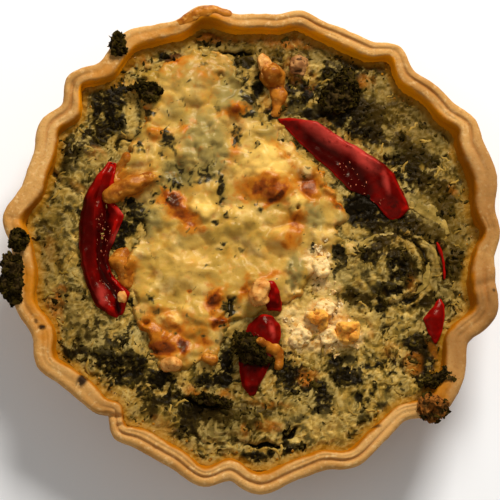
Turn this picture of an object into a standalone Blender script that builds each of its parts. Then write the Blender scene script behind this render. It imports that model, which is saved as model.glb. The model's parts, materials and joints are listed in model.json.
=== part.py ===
"""Spinach quiche, about 165 mm across.

A free-form fluted shortcrust case holds a baked spinach custard. On it lie a cap of melted
cheese, roasted pepper strips, feta, onion and clumps of spinach, three of them on the rim.

Lengths are in millimetres and angles in degrees, turned into metres and radians where the
meshes are made. +Z is up, and the origin is the centre of the flat underside.
"""

import math
import random

import bmesh
import bpy
from mathutils import Vector, geometry, noise

MM = 0.001
GAP = 0.3  # clearance between pieces that touch
CUT_GAP = 0.42  # how far a cutter stands off its piece, so that its flat faces keep GAP

# The pastry case.
CASE_HEIGHT = 31.0  # table to the middle of the rim's top
BASE_RADIUS = 68.0  # outer wall where it meets the table
BASE_ROUND = 3.0  # rounding from the underside to the wall
FLOOR_THICKNESS = 4.0
WALL_THICKNESS = 4.6
FLUTE_START = 7.0  # height at which the hand-pressed flutes begin
RIM_DEPTH = 5.5  # how far the thicker rim reaches down the wall
LONG_SPAN = 6.6  # degrees; longer spans between rim keys get three mesh stations, not two

# The filling.
FILL_LEVEL = 25.2  # custard where it meets the wall
EDGE_BAND = 9.0  # the custard is level this close to the wall
CUSTARD_CELL = 7.8  # spacing of the custard's top mesh
CHEESE_CELL = 6.6
CHEESE_THICKNESS = 2.0
CHEESE_SINK = 0.9  # how deep the cheese has sunk into the custard
CHEESE_EDGE = 7.0  # width of the cheese's thinning edge

# The rim seen from above: angle, radius of its middle, width. Each key is a crest, a
# hollow, or a bend between the two, going round anticlockwise from +X.
RIM_KEYS = (
    (3.5, 80.1, 5.0),
    (8.5, 78.5, 6.2),
    (18, 81.0, 7.6),
    (25, 80.8, 7.8),
    (30, 83.0, 6.4),
    (35.5, 80.0, 6.8),
    (42, 79.3, 6.0),
    (48.5, 77.6, 6.2),
    (55, 81.9, 5.0),
    (60, 77.8, 5.8),
    (65, 77.3, 6.0),
    (73, 77.6, 5.2),
    (79.5, 79.5, 5.0),
    (85, 76.9, 5.0),
    (94.5, 76.5, 5.0),
    (103.5, 81.2, 4.8),
    (110, 78.4, 5.0),
    (115.5, 79.7, 5.4),
    (122, 81.4, 6.0),
    (131.5, 77.9, 5.8),
    (138.5, 82.3, 5.2),
    (145, 77.0, 6.6),
    (151.5, 79.7, 6.6),
    (159, 76.7, 6.6),
    (167, 76.8, 6.6),
    (176, 82.0, 5.8),
    (181, 79.0, 6.0),
    (189, 77.6, 6.2),
    (196.5, 80.0, 6.0),
    (204, 77.5, 6.6),
    (211.5, 81.3, 5.6),
    (216, 78.6, 6.0),
    (222, 76.3, 6.6),
    (227.5, 76.0, 5.4),
    (231, 73.9, 4.8),
    (235.5, 78.6, 5.2),
    (241, 76.8, 6.4),
    (250, 77.8, 6.2),
    (258, 81.6, 5.2),
    (264, 77.6, 6.4),
    (271, 81.6, 6.0),
    (280, 78.0, 5.8),
    (287, 76.9, 6.0),
    (294, 79.8, 5.0),
    (302, 76.9, 5.2),
    (310, 75.2, 5.0),
    (319, 81.4, 6.4),
    (325.5, 80.0, 7.0),
    (335, 74.8, 7.2),
    (344, 80.5, 7.2),
    (351, 77.3, 7.8),
    (357, 77.0, 6.6),
)

# Slow rises and dips of the rim's top: angle of the middle, half-width, height.
RIM_RISES = ((18, 22, 1.4), (102, 14, 1.0), (150, 20, -0.8), (212, 12, 0.9),
             (231, 6, -1.6), (260, 14, 0.8), (310, 12, -1.4), (348, 9, 1.6))

# How the set custard swells and sinks: x, y, radius, height.
CUSTARD_MOUNDS = (
    (45, -8, 19, 1.5),
    (-3.5, -58.5, 19, 1.4),
    (29, 51.5, 17, 1.3),
    (-57.5, 26, 12, 1.0),
    (-28.5, 57.5, 16, 0.9),
    (-45, -39, 14, 0.9),
    (-9.5, 61.5, 9, -0.9),
    (51, 39.5, 10, -0.7),
    (-65.5, -7, 9, -0.8),
    (35.5, -50, 12, 0.7),
    (54, -44, 8, 1.2),
    (18.5, -46, 8, -0.7),
    (-1, 14, 36, 1.4),
)

# The melted cheese from above, anticlockwise, and its lumps: x, y, radius, height.
CHEESE_OUTLINE = (
    (35, 7), (32, 17), (24, 24), (16, 31), (9, 38), (3, 46), (0, 56), (-8, 65), (-21, 67),
    (-33, 61), (-41, 55), (-40, 45), (-44, 36), (-45, 27), (-47.5, 21), (-48, 15), (-42, 11),
    (-40, 4), (-43, -2.5), (-48.5, -7), (-47, -11.5), (-42, -15), (-40.5, -23), (-39, -32),
    (-35, -42.5), (-22, -46), (-12, -39), (-8, -29), (-2, -25), (4, -25), (12, -21), (19, -13),
    (26, -4),
)
CHEESE_LUMPS = (
    (5, 19, 9, 2.0),
    (-1, 29, 10, 1.2),
    (-22.5, 12, 8, 1.5),
    (26, 16, 6, 1.7),
    (-40.5, 20, 6, 1.6),
    (-29.5, -25.5, 8, 1.3),
    (-31.5, -37.5, 7, 1.0),
    (-11, -22.5, 6, 1.4),
    (-16.5, 49.5, 9, 0.9),
    (-27, 37, 6, 0.9),
    (12, 6, 6, 0.9),
    (-17.5, -10, 10, 0.9),
)

# Pepper strips: the section's rise at each share of the way across, the height of that
# section, and stations of left edge x, y, right edge x, y and lift above what lies below.
PEPPER_THICKNESS = 2.0
CHANNEL = ((0, 0.0), (0.14, 0.9), (0.36, 1.0), (0.62, 0.15), (0.86, 1.0), (1, 0.35))
RIDGE = ((0, 0.1), (0.13, 0.95), (0.32, 1.0), (0.6, 0.55), (0.84, 0.3), (1, 0.1))
ARCH = ((0, 0.0), (0.22, 0.8), (0.5, 1.0), (0.78, 0.8), (1, 0.0))
PEPPERS = {
    "pepper_left": (CHANNEL, 2.4, (
        (-49.7, 27.0, -46.2, 26.4, 0.9), (-54.2, 20.4, -46.6, 21.6, 0.7),
        (-57.7, 13.8, -48.2, 13.8, 0.6), (-58.8, 7.6, -43.4, 8.4, 0.5),
        (-59.0, 2.2, -45.4, 3.0, 0.5), (-58.7, -3.6, -47.8, -3.2, 0.5),
        (-57.8, -9.6, -48.4, -8.0, 0.5), (-56.0, -15.6, -46.2, -12.6, 0.5),
        (-53.2, -22.4, -41.0, -17.8, 0.5), (-49.2, -25.0, -42.6, -21.8, 0.4),
        (-45.8, -26.8, -43.6, -25.0, 0.2))),
    "pepper_right": (RIDGE, 3.0, (
        (6.8, 43.0, 7.0, 42.2, 0.8), (13.4, 43.2, 10.2, 38.8, 0.8),
        (20.5, 42.0, 14.6, 33.8, 0.7), (27.2, 37.6, 19.8, 29.2, 0.7),
        (34.0, 33.2, 25.4, 24.2, 0.7), (40.6, 29.8, 30.8, 18.2, 0.7),
        (46.4, 25.0, 36.4, 17.0, 0.6), (50.0, 17.8, 40.2, 13.6, 0.6),
        (52.0, 12.2, 42.8, 10.4, 0.5), (49.4, 9.4, 45.6, 7.8, 0.4))),
    "pepper_centre_top": (ARCH, 2.4, (
        (3.2, -13.4, 6.2, -13.2, 1.0), (3.6, -17.0, 8.2, -16.6, 1.0),
        (2.4, -20.6, 9.0, -20.6, 1.0), (4.0, -23.4, 9.0, -23.2, 0.9))),
    "pepper_centre_tail": (ARCH, 2.8, (
        (1.2, -24.4, 6.0, -24.2, 1.4), (-2.6, -28.0, 8.8, -27.8, 1.3),
        (-4.4, -32.4, 8.8, -32.4, 1.1), (-5.6, -38.0, 6.8, -38.0, 0.9),
        (-5.4, -43.4, 4.4, -43.2, 0.8), (-4.6, -48.0, 2.0, -47.6, 0.6),
        (-1.6, -51.6, 0.2, -51.4, 0.4))),
    "pepper_edge": (ARCH, 1.6, (
        (61.0, -16.2, 61.8, -16.2, 0.4), (59.4, -20.2, 63.6, -19.8, 0.4),
        (55.4, -24.6, 63.4, -24.2, 0.4), (57.0, -29.4, 62.2, -29.4, 0.4),
        (59.4, -33.0, 60.4, -33.0, 0.3))),
}

# Onion slices, along the middle: x, y, width.
ONION_THICKNESS = 1.4
ONIONS = {
    "onion_round": ((31.0, -8.5, 1.6), (31.6, -4.5, 2.4), (35.0, -0.6, 2.8), (40.0, 2.2, 2.8),
                    (45.5, 3.3, 2.8), (51.0, 3.0, 2.8), (56.0, 1.2, 2.6), (59.6, -2.0, 2.2),
                    (61.0, -6.5, 1.4)),
    "onion_arc": ((50.6, 15.6, 3.0), (54.6, 14.2, 5.6), (58.6, 11.6, 5.4), (62.4, 8.0, 3.6),
                  (64.6, 4.0, 1.8)),
    "onion_inner": ((57.6, -3.5, 1.6), (58.0, -8.0, 3.4), (55.8, -12.6, 4.2),
                    (52.2, -16.4, 2.2)),
    "pepper_sliver": ((60.6, 1.6, 0.9), (62.2, -2.2, 1.4), (63.1, -6.6, 1.5),
                      (63.3, -11.4, 0.9)),
}

# Lumps that are broken, angular pieces: x, y, height of the middle, half-sizes, turn.
CRUMBLED = {
    "feta_north": (21.8, -8.6, 28.6, (3.4, 4.0, 2.6), 10),
    "feta_middle": (22.4, -23.4, 28.4, (3.8, 4.6, 2.8), -25),
    "feta_toasted": (31.0, -30.4, 28.2, (4.8, 4.4, 3.0), 20),
    "feta_south": (24.4, -31.6, 27.8, (3.2, 3.4, 2.2), 0),
    "feta_west": (15.4, -31.4, 27.6, (4.4, 4.8, 2.0), 30),
    "cheese_lump_centre": (1.7, -18.8, 31.6, (3.4, 4.8, 2.0), -16),
    "cheese_lump_left": (-43.8, -19.6, 30.6, (2.4, 2.6, 1.7), 0),
    "browned_lump_top": (2.6, 60.2, 28.8, (3.8, 5.2, 3.2), 14),
    "mushroom_piece": (14.0, 61.0, 27.6, (3.9, 4.4, 2.0), -10),
}

# Matted spinach: x, y, height of the middle, half-sizes, turn.
CLUMP_ROUGHNESS = 0.4
SPINACH_CLUMPS = {
    "spinach_upper_left": (-37.0, 51.2, 28.6, (5.6, 3.9, 2.4), -20),
    "spinach_upper_right": (28.6, 52.0, 28.4, (6.2, 9.2, 2.8), -20),
    "spinach_on_pepper": (-2.2, -36.6, 31.2, (5.4, 5.6, 2.8), 20),
    "spinach_lower": (-14.0, -53.2, 27.8, (7.2, 2.6, 2.2), -8),
    "char_beside_rim": (60.2, -45.6, 29.6, (6.4, 3.2, 2.8), 16),
    "spinach_rim_top": (-46.9, 65.6, 31.4, (2.6, 4.8, 3.0), -12),
    "spinach_rim_small": (-78.3, -1.7, 31.4, (3.8, 4.4, 2.8), 0),
    "spinach_rim_left": (-79.9, -14.6, 30.6, (4.6, 9.4, 4.2), 7),
    "burnt_corner": (58.2, -55.0, 31.0, (6.0, 5.8, 3.4), 10),
}

RIM_RIDERS = ("spinach_rim_left", "spinach_rim_small", "spinach_rim_top", "burnt_corner",
              "char_beside_rim")

PASTRY_COLOUR = (0.50, 0.27, 0.09)
CUSTARD_COLOUR = (0.30, 0.22, 0.05)
CHEESE_COLOUR = (0.62, 0.42, 0.13)
PEPPER_COLOUR = (0.25, 0.004, 0.002)
ONION_COLOUR = (0.42, 0.33, 0.11)
FETA_COLOUR = (0.76, 0.58, 0.33)
BROWNED_COLOUR = (0.48, 0.22, 0.05)
SPINACH_COLOUR = (0.018, 0.015, 0.006)


# ---------------------------------------------------------------- small helpers


def clear_scene():
    for obj in list(bpy.data.objects):
        bpy.data.objects.remove(obj)


def finish_colour(name, colour, roughness):
    material = bpy.data.materials.new(name)
    material.use_nodes = True
    shader = material.node_tree.nodes["Principled BSDF"]
    shader.inputs["Base Color"].default_value = (*colour, 1.0)
    shader.inputs["Roughness"].default_value = roughness
    shader.inputs["Metallic"].default_value = 0.0
    return material


def add_object(name, mesh_data, material=None, smooth=True):
    """Turns a bmesh in millimetres into a named object in metres."""
    mesh = bpy.data.meshes.new(name)
    bmesh.ops.scale(mesh_data, vec=(MM, MM, MM), verts=mesh_data.verts)
    bmesh.ops.recalc_face_normals(mesh_data, faces=mesh_data.faces)
    mesh_data.to_mesh(mesh)
    mesh_data.free()
    obj = bpy.data.objects.new(name, mesh)
    bpy.context.scene.collection.objects.link(obj)
    if material:
        mesh.materials.append(material)
    if smooth:
        mesh.shade_smooth()
        mesh.set_sharp_from_angle(angle=math.radians(50))
    return obj


def smoothstep(value):
    value = min(1.0, max(0.0, value))
    return value * value * (3 - 2 * value)


def dome(distance, radius):
    """1 at the middle of a round mound, falling smoothly to 0 at its edge."""
    return smoothstep(1 - distance / radius)


def key_slope(before, here, after, column):
    """Slope of a smooth curve at a key: level on a crest or in a hollow."""
    rise_in = (here[column] - before[column]) / (here[0] - before[0])
    rise_out = (after[column] - here[column]) / (after[0] - here[0])
    if rise_in * rise_out <= 0:
        return 0.0
    return 2 * rise_in * rise_out / (rise_in + rise_out)


def closed_curve(keys):
    """Stations on the smooth closed curve through keys, each (angle, value, value ...)."""
    turn = [(k[0] - 360, *k[1:]) for k in keys[-2:]] + list(keys)
    turn += [(k[0] + 360, *k[1:]) for k in keys[:2]]
    stations = []
    for i in range(2, len(keys) + 2):
        span = turn[i + 1][0] - turn[i][0]
        steps = 3 if span > LONG_SPAN else 2
        for step in range(steps):
            t = step / steps
            station = [turn[i][0] + t * span]
            for column in range(1, len(keys[0])):
                start, end = turn[i][column], turn[i + 1][column]
                leave = key_slope(turn[i - 1], turn[i], turn[i + 1], column) * span
                arrive = key_slope(turn[i], turn[i + 1], turn[i + 2], column) * span
                station.append(
                    (2 * t**3 - 3 * t**2 + 1) * start + (t**3 - 2 * t**2 + t) * leave
                    + (3 * t**2 - 2 * t**3) * end + (t**3 - t**2) * arrive
                )
            stations.append(tuple(station))
    return stations


def smooth_path(points, steps=2):
    """Points on a smooth open curve through points, with steps to a span."""
    ends = [points[0]] + list(points) + [points[-1]]
    path = []
    for i in range(1, len(points)):
        for step in range(steps):
            t = step / steps
            path.append(tuple(
                0.5 * (2 * b + (c - a) * t + (2 * a - 5 * b + 4 * c - d) * t**2
                       + (3 * b - a - 3 * c + d) * t**3)
                for a, b, c, d in zip(ends[i - 1], ends[i], ends[i + 1], ends[i + 2])
            ))
    return path + [points[-1]]


def loft(mesh_data, rings, close_ends=True):
    """Triangle pairs between rings of equally many points, and a flat face on each end."""
    rows = [[mesh_data.verts.new(p) for p in ring] for ring in rings]
    count = len(rows[0])
    for lower, upper in zip(rows, rows[1:]):
        for i in range(count):
            j = (i + 1) % count
            mesh_data.faces.new((lower[i], lower[j], upper[j]))
            mesh_data.faces.new((lower[i], upper[j], upper[i]))
    if close_ends:
        mesh_data.faces.new(rows[0][::-1])
        mesh_data.faces.new(rows[-1])
    return rows


def inside(point, loop):
    """Whether a point lies inside a loop, by counting the sides a ray crosses."""
    x, y = point
    crossed = False
    for (ax, ay), (bx, by) in zip(loop, loop[1:] + loop[:1]):
        if (ay > y) != (by > y) and x < ax + (y - ay) * (bx - ax) / (by - ay):
            crossed = not crossed
    return crossed


def distance_to_loop(point, loop):
    here = Vector(point)
    return min(
        (here - geometry.intersect_point_line(here, Vector(a), Vector(b))[0]).length
        if 0 <= geometry.intersect_point_line(here, Vector(a), Vector(b))[1] <= 1
        else (here - Vector(a)).length
        for a, b in zip(loop, loop[1:] + loop[:1])
    )


def sheet_inside(loop, cell, margin):
    """Points and triangles that fill a loop with a staggered grid of about cell spacing."""
    points = [Vector(p) for p in loop]
    edges = [(i, (i + 1) % len(loop)) for i in range(len(loop))]
    low_x, high_x = min(p[0] for p in loop), max(p[0] for p in loop)
    low_y, high_y = min(p[1] for p in loop), max(p[1] for p in loop)
    row_height = cell * math.sqrt(3) / 2
    for row in range(int((high_y - low_y) / row_height) + 1):
        y = low_y + (row + 0.5) * row_height
        for column in range(int((high_x - low_x) / cell) + 1):
            x = low_x + (column + 0.5 * (row % 2)) * cell
            if inside((x, y), loop) and distance_to_loop((x, y), loop) > margin:
                points.append(Vector((x, y)))
    result = geometry.delaunay_2d_cdt(points, edges, [], 1, 1e-4)
    return result[0], result[2]


# ---------------------------------------------------------------- the pastry case

RIM = closed_curve(RIM_KEYS)
MEAN_RIM_RADIUS = sum(radius for _, radius, _ in RIM) / len(RIM)
BASE_MIDDLE = BASE_RADIUS - WALL_THICKNESS / 2


def rim_rise(angle):
    """Slow waviness of the rim's height."""
    rise = 0.0
    for middle, half_width, height in RIM_RISES:
        away = abs((angle - middle + 180) % 360 - 180)
        rise += height * dome(away, half_width)
    return rise


def rim_normals():
    """Directions across the rim in plan: half square to its path, half radial."""
    count = len(RIM)
    points = [
        Vector((r * math.cos(math.radians(a)), r * math.sin(math.radians(a))))
        for a, r, _ in RIM
    ]
    normals = []
    for i, (angle, _, _) in enumerate(RIM):
        along = points[(i + 1) % count] - points[i - 1]
        square = Vector((along.y, -along.x)).normalized()
        radial = Vector((math.cos(math.radians(angle)), math.sin(math.radians(angle))))
        normals.append((square + radial).normalized())
    return normals


RIM_NORMALS = rim_normals()


def case_ring(across, height):
    """A ring of the case: across is -1 on its inner face and 1 on its outer face."""
    share = height / CASE_HEIGHT
    flute = smoothstep((height - FLUTE_START) / (CASE_HEIGHT - FLUTE_START))
    rim_share = smoothstep((height - CASE_HEIGHT + 2 * RIM_DEPTH) / (1.6 * RIM_DEPTH))
    plain = BASE_MIDDLE + (MEAN_RIM_RADIUS - BASE_MIDDLE) * share
    ring = []
    for (angle, radius, width), normal in zip(RIM, RIM_NORMALS):
        radial = Vector((math.cos(math.radians(angle)), math.sin(math.radians(angle))))
        middle = plain + (radius - MEAN_RIM_RADIUS) * flute
        half = (WALL_THICKNESS + (width - WALL_THICKNESS) * rim_share) / 2
        side = radial.lerp(normal, flute).normalized()
        point = radial * middle + side * across * half
        ring.append(Vector((*point, height + rim_rise(angle) * share**3)))
    return ring


def level_ring(radius, height):
    """A plain circle with one point for each station of the rim."""
    return [
        Vector((radius * math.cos(math.radians(a)), radius * math.sin(math.radians(a)), height))
        for a, _, _ in RIM
    ]


INNER_FOOT = case_ring(-1, FLOOR_THICKNESS + 3)
INNER_TOP = case_ring(-1, CASE_HEIGHT - 3.6)


def pastry_case(material):
    """Flat floor, flared wall, and a rim of two rolled ridges with a fold line between."""
    floor_radius = BASE_RADIUS - WALL_THICKNESS - 1
    rings = [
        level_ring(BASE_RADIUS - BASE_ROUND, 0),
        case_ring(1, BASE_ROUND),
        case_ring(1, 0.6 * CASE_HEIGHT),
        case_ring(1.12, CASE_HEIGHT - 2.4),
        case_ring(0.66, CASE_HEIGHT - 0.4),
        case_ring(0.16, CASE_HEIGHT - 0.8),
        case_ring(-0.42, CASE_HEIGHT),
        case_ring(-0.92, CASE_HEIGHT - 1.6),
        INNER_TOP,
        INNER_FOOT,
        level_ring(floor_radius, FLOOR_THICKNESS),
    ]
    mesh_data = bmesh.new()
    loft(mesh_data, rings)
    return add_object("pastry_case", mesh_data, material)


# ---------------------------------------------------------------- custard and cheese


def inset(ring, distance):
    """A ring moved in square to its own path in plan, leaving a gap to the wall."""
    moved = []
    for before, point, after in zip(ring[-1:] + ring[:-1], ring, ring[1:] + ring[:1]):
        first, second = (
            Vector((b.y - a.y, a.x - b.x, 0)).normalized()
            for a, b in ((before, point), (point, after))
        )
        mitre = (first + second).normalized()
        moved.append(point - mitre * distance / max(0.6, mitre.dot(first)))
    return moved


def wall_at_level(height):
    """The case's inner wall where a level plane meets it."""
    return [a.lerp(b, (height - a.z) / (b.z - a.z)) for a, b in zip(INNER_FOOT, INNER_TOP)]


CUSTARD_EDGE = inset(wall_at_level(FILL_LEVEL), 1.5 * GAP)
CUSTARD_LOOP = [(p.x, p.y) for p in CUSTARD_EDGE]


def custard_height(x, y):
    """Height of the baked custard's top, level in a band along the wall."""
    swell = sum(
        height * dome(math.hypot(x - mx, y - my), radius)
        for mx, my, radius, height in CUSTARD_MOUNDS
    )
    ripple = 0.7 * noise.noise(Vector((x / 11, y / 11, 3.1)))
    edge = min(1.0, max(0.0, (MEAN_RIM_RADIUS - 4 - math.hypot(x, y)) / EDGE_BAND))
    return FILL_LEVEL + (0.8 + swell + ripple) * smoothstep(edge)


def custard(material):
    """The filling, solid from the pastry's floor to its uneven top."""
    points, triangles = sheet_inside(CUSTARD_LOOP, CUSTARD_CELL, 0.6 * CUSTARD_CELL)
    mesh_data = bmesh.new()
    edge_count = len(CUSTARD_LOOP)
    bottom = inset(level_ring(BASE_RADIUS - WALL_THICKNESS - 1, FLOOR_THICKNESS + GAP), 2 * GAP)
    foot = inset(INNER_FOOT, 1.5 * GAP)
    rows = loft(mesh_data, [CUSTARD_EDGE, foot, bottom], close_ends=False)
    mesh_data.faces.new(rows[-1])
    top = rows[0] + [
        mesh_data.verts.new((p.x, p.y, custard_height(*p))) for p in points[edge_count:]
    ]
    for triangle in triangles:
        mesh_data.faces.new([top[i] for i in triangle])
    return add_object("filling", mesh_data, material)


def cheese_height(x, y, edge_distance):
    """Top of the cheese: a blanket that thins towards its edge, and its lumps."""
    lumps = sum(
        height * dome(math.hypot(x - lx, y - ly), radius)
        for lx, ly, radius, height in CHEESE_LUMPS
    )
    thickness = CHEESE_THICKNESS + lumps + 0.7 * noise.noise(Vector((x / 7, y / 7, 8.4)))
    return custard_height(x, y) + thickness * smoothstep(edge_distance / CHEESE_EDGE)


def melted_cheese(name, material, stand_off=0.0):
    """The blanket of cheese, sunk a little into the custard."""
    points, triangles = sheet_inside(CHEESE_OUTLINE, CHEESE_CELL, 0.5 * CHEESE_CELL)
    mesh_data = bmesh.new()
    edge_count = len(CHEESE_OUTLINE)
    top, bottom = [], []
    for i, point in enumerate(points):
        x, y = point
        if i < edge_count:
            rim_point = mesh_data.verts.new((x, y, custard_height(x, y) - 0.25))
            top.append(rim_point)
            bottom.append(rim_point)
        else:
            edge_distance = distance_to_loop((x, y), CHEESE_OUTLINE)
            top.append(mesh_data.verts.new((x, y, cheese_height(x, y, edge_distance))))
            bottom.append(mesh_data.verts.new((x, y, custard_height(x, y) - CHEESE_SINK)))
    for triangle in triangles:
        if min(triangle) < edge_count <= max(triangle) or min(triangle) >= edge_count:
            mesh_data.faces.new([top[i] for i in triangle])
            mesh_data.faces.new([bottom[i] for i in reversed(triangle)])
    loose = [vert for vert in mesh_data.verts if not vert.link_faces]
    bmesh.ops.delete(mesh_data, geom=loose, context="VERTS")
    if stand_off:
        grow(mesh_data, stand_off)
    return add_object(name, mesh_data, material)


# ---------------------------------------------------------------- toppings


def grow(mesh_data, distance):
    """Moves every point out along its normal."""
    bmesh.ops.recalc_face_normals(mesh_data, faces=mesh_data.faces)
    mesh_data.normal_update()
    moves = [(v, v.normal * distance) for v in mesh_data.verts]
    for vert, move in moves:
        vert.co += move


def surface_height(x, y):
    """Top of whatever lies under a topping: custard, or cheese where it covers it."""
    if inside((x, y), CHEESE_OUTLINE):
        return cheese_height(x, y, distance_to_loop((x, y), CHEESE_OUTLINE))
    return custard_height(x, y)


def ribbon(name, ribs, thickness, material, stand_off):
    """Lofts a thin curved sheet; each rib is the points of its upper side, left to right."""
    mesh_data = bmesh.new()
    rings = []
    for rib in ribs:
        middle = len(rib) // 2
        under = [rib[-1].lerp(rib[middle], 0.25), rib[middle], rib[0].lerp(rib[middle], 0.25)]
        rings.append(rib + [p - Vector((0, 0, thickness)) for p in under])
    loft(mesh_data, rings)
    if stand_off:
        grow(mesh_data, stand_off)
    return add_object(name, mesh_data, material)


def pepper_strip(name, shape, material, stand_off=0.0):
    """A strip of pepper between two edges, curled across by its section."""
    section, section_height, stations = shape
    ribs = []
    for lx, ly, rx, ry, lift in stations:
        base = surface_height((lx + rx) / 2, (ly + ry) / 2) + lift
        narrow = min(1.0, math.hypot(rx - lx, ry - ly) / 7)
        ribs.append([
            Vector((lx + (rx - lx) * u, ly + (ry - ly) * u, base + rise * section_height * narrow))
            for u, rise in section
        ])
    return ribbon(name, ribs, PEPPER_THICKNESS, material, stand_off)


def onion(name, stations, material, stand_off=0.0):
    """A bent slice of onion that stands half out of the custard."""
    ribs = []
    path = smooth_path(stations)
    for i, (x, y, width) in enumerate(path):
        before, after = path[max(0, i - 1)], path[min(len(path) - 1, i + 1)]
        along = Vector((after[0] - before[0], after[1] - before[1])).normalized()
        height = surface_height(x, y)
        ribs.append([
            Vector((x - along.y * u * width / 2, y + along.x * u * width / 2, height + rise))
            for u, rise in ((1, 0.25), (0, 0.7), (-1, 0.25))
        ])
    return ribbon(name, ribs, ONION_THICKNESS, material, stand_off)


def lump(name, place, seed, material, stand_off=0.0):
    """An uneven rounded lump of given half-sizes, turned about the vertical."""
    x, y, z, half_sizes, turn = place
    cos_turn, sin_turn = math.cos(math.radians(turn)), math.sin(math.radians(turn))
    mesh_data = bmesh.new()
    bmesh.ops.create_icosphere(mesh_data, subdivisions=2, radius=1)
    for vert in mesh_data.verts:
        bump = 1 + CLUMP_ROUGHNESS * noise.noise(vert.co * 1.9 + Vector((seed, 0, 0)))
        px, py, pz = (vert.co[i] * half_sizes[i] * bump for i in range(3))
        vert.co = (x + px * cos_turn - py * sin_turn, y + px * sin_turn + py * cos_turn, z + pz)
    if stand_off:
        grow(mesh_data, stand_off)
    return add_object(name, mesh_data, material)


def crumbled(name, place, seed, material, stand_off=0.0):
    """A broken, angular lump: the hull of points scattered on an oval."""
    x, y, z, half_sizes, turn = place
    cos_turn, sin_turn = math.cos(math.radians(turn)), math.sin(math.radians(turn))
    scatter = random.Random(seed)
    mesh_data = bmesh.new()
    for _ in range(26):
        way = Vector([scatter.uniform(-1, 1) for _ in range(3)]).normalized()
        way *= scatter.uniform(0.86, 1.08)
        px, py, pz = (way[i] * half_sizes[i] for i in range(3))
        mesh_data.verts.new(
            (x + px * cos_turn - py * sin_turn, y + px * sin_turn + py * cos_turn, z + pz))
    hull = bmesh.ops.convex_hull(mesh_data, input=mesh_data.verts)
    bmesh.ops.delete(mesh_data, geom=hull["geom_interior"], context="VERTS")
    if stand_off:
        grow(mesh_data, stand_off)
    return add_object(name, mesh_data, material, smooth=False)


# ---------------------------------------------------------------- cutting the nests


def as_cutter(obj):
    obj.hide_render = True
    obj.display_type = "WIRE"
    return obj


def cut(obj, cutters):
    """Takes each cutter's shape out of obj."""
    for cutter in cutters:
        modifier = obj.modifiers.new(f"nest for {cutter.name}", "BOOLEAN")
        modifier.operation = "DIFFERENCE"
        modifier.solver = "EXACT"
        modifier.object = cutter


def near(first, second, margin=1.0):
    """Whether two objects' boxes come within margin of each other."""
    def box(obj):
        corners = [obj.matrix_world @ Vector(c) for c in obj.bound_box]
        return [(min(c[i] for c in corners), max(c[i] for c in corners)) for i in range(3)]
    return all(
        low_a - margin * MM < high_b and low_b - margin * MM < high_a
        for (low_a, high_a), (low_b, high_b) in zip(box(first), box(second))
    )


def build_toppings():
    """Each topping and its cutter, those that lie lowest first."""
    pepper = finish_colour("pepper skin", PEPPER_COLOUR, 0.25)
    onion_flesh = finish_colour("onion", ONION_COLOUR, 0.4)
    feta = finish_colour("feta", FETA_COLOUR, 0.7)
    browned = finish_colour("browned cheese", BROWNED_COLOUR, 0.5)
    spinach = finish_colour("spinach", SPINACH_COLOUR, 0.7)
    pairs = []

    def add(maker, name, *details):
        pairs.append((
            maker(name, *details),
            as_cutter(maker(f"{name}_cutter", *details, CUT_GAP)),
        ))

    for name, shape in PEPPERS.items():
        add(pepper_strip, name, shape, pepper)
    for name, stations in ONIONS.items():
        add(onion, name, stations, pepper if "pepper" in name else onion_flesh)
    for seed, (name, place) in enumerate(CRUMBLED.items(), start=3):
        add(crumbled, name, place, seed, feta if "feta" in name else browned)
    for seed, (name, place) in enumerate(SPINACH_CLUMPS.items(), start=11):
        add(lump, name, place, seed, spinach)
    return pairs


def main():
    clear_scene()
    case = pastry_case(finish_colour("pastry", PASTRY_COLOUR, 0.65))
    filling = custard(finish_colour("custard", CUSTARD_COLOUR, 0.45))
    cheese = melted_cheese("melted_cheese", finish_colour("cheese", CHEESE_COLOUR, 0.35))
    cheese_cutter = as_cutter(melted_cheese("melted_cheese_cutter", None, CUT_GAP))
    case_cutter = as_cutter(case.copy())
    case_cutter.name = "pastry_case_cutter"
    bpy.context.scene.collection.objects.link(case_cutter)
    swell = case_cutter.modifiers.new("clearance", "DISPLACE")
    swell.strength = GAP * MM
    swell.mid_level = 0
    bpy.context.view_layer.update()

    pairs = build_toppings()
    bpy.context.view_layer.update()
    for i, (topping, _) in enumerate(pairs):
        below = [cutter for _, cutter in pairs[:i] if near(topping, cutter)]
        if topping.name in RIM_RIDERS:
            below.append(case_cutter)
        cut(topping, below)
    cut(cheese, [cutter for _, cutter in pairs if near(cheese, cutter)])
    cut(filling, [cheese_cutter] + [cutter for _, cutter in pairs if near(filling, cutter)])


main()
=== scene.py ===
"""Looks of a small spinach quiche.

A high-resolution pastry case, a relief of spinach custard, a blanket of melted cheese and
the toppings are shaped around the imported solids. Shapes are worked out in millimetres and
turned into metres when their meshes are made. +Z is up.
"""

import json
import logging
import math
from dataclasses import dataclass
from enum import Enum
from typing import Sequence, Union

import bmesh
import bpy
import numpy as np
from bmesh.types import BMesh
from bpy.types import Collection, Material, Mesh, Node, NodeSocket as Socket, NodeTree, Object
from mathutils import Matrix, Vector
from mathutils.bvhtree import BVHTree

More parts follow.
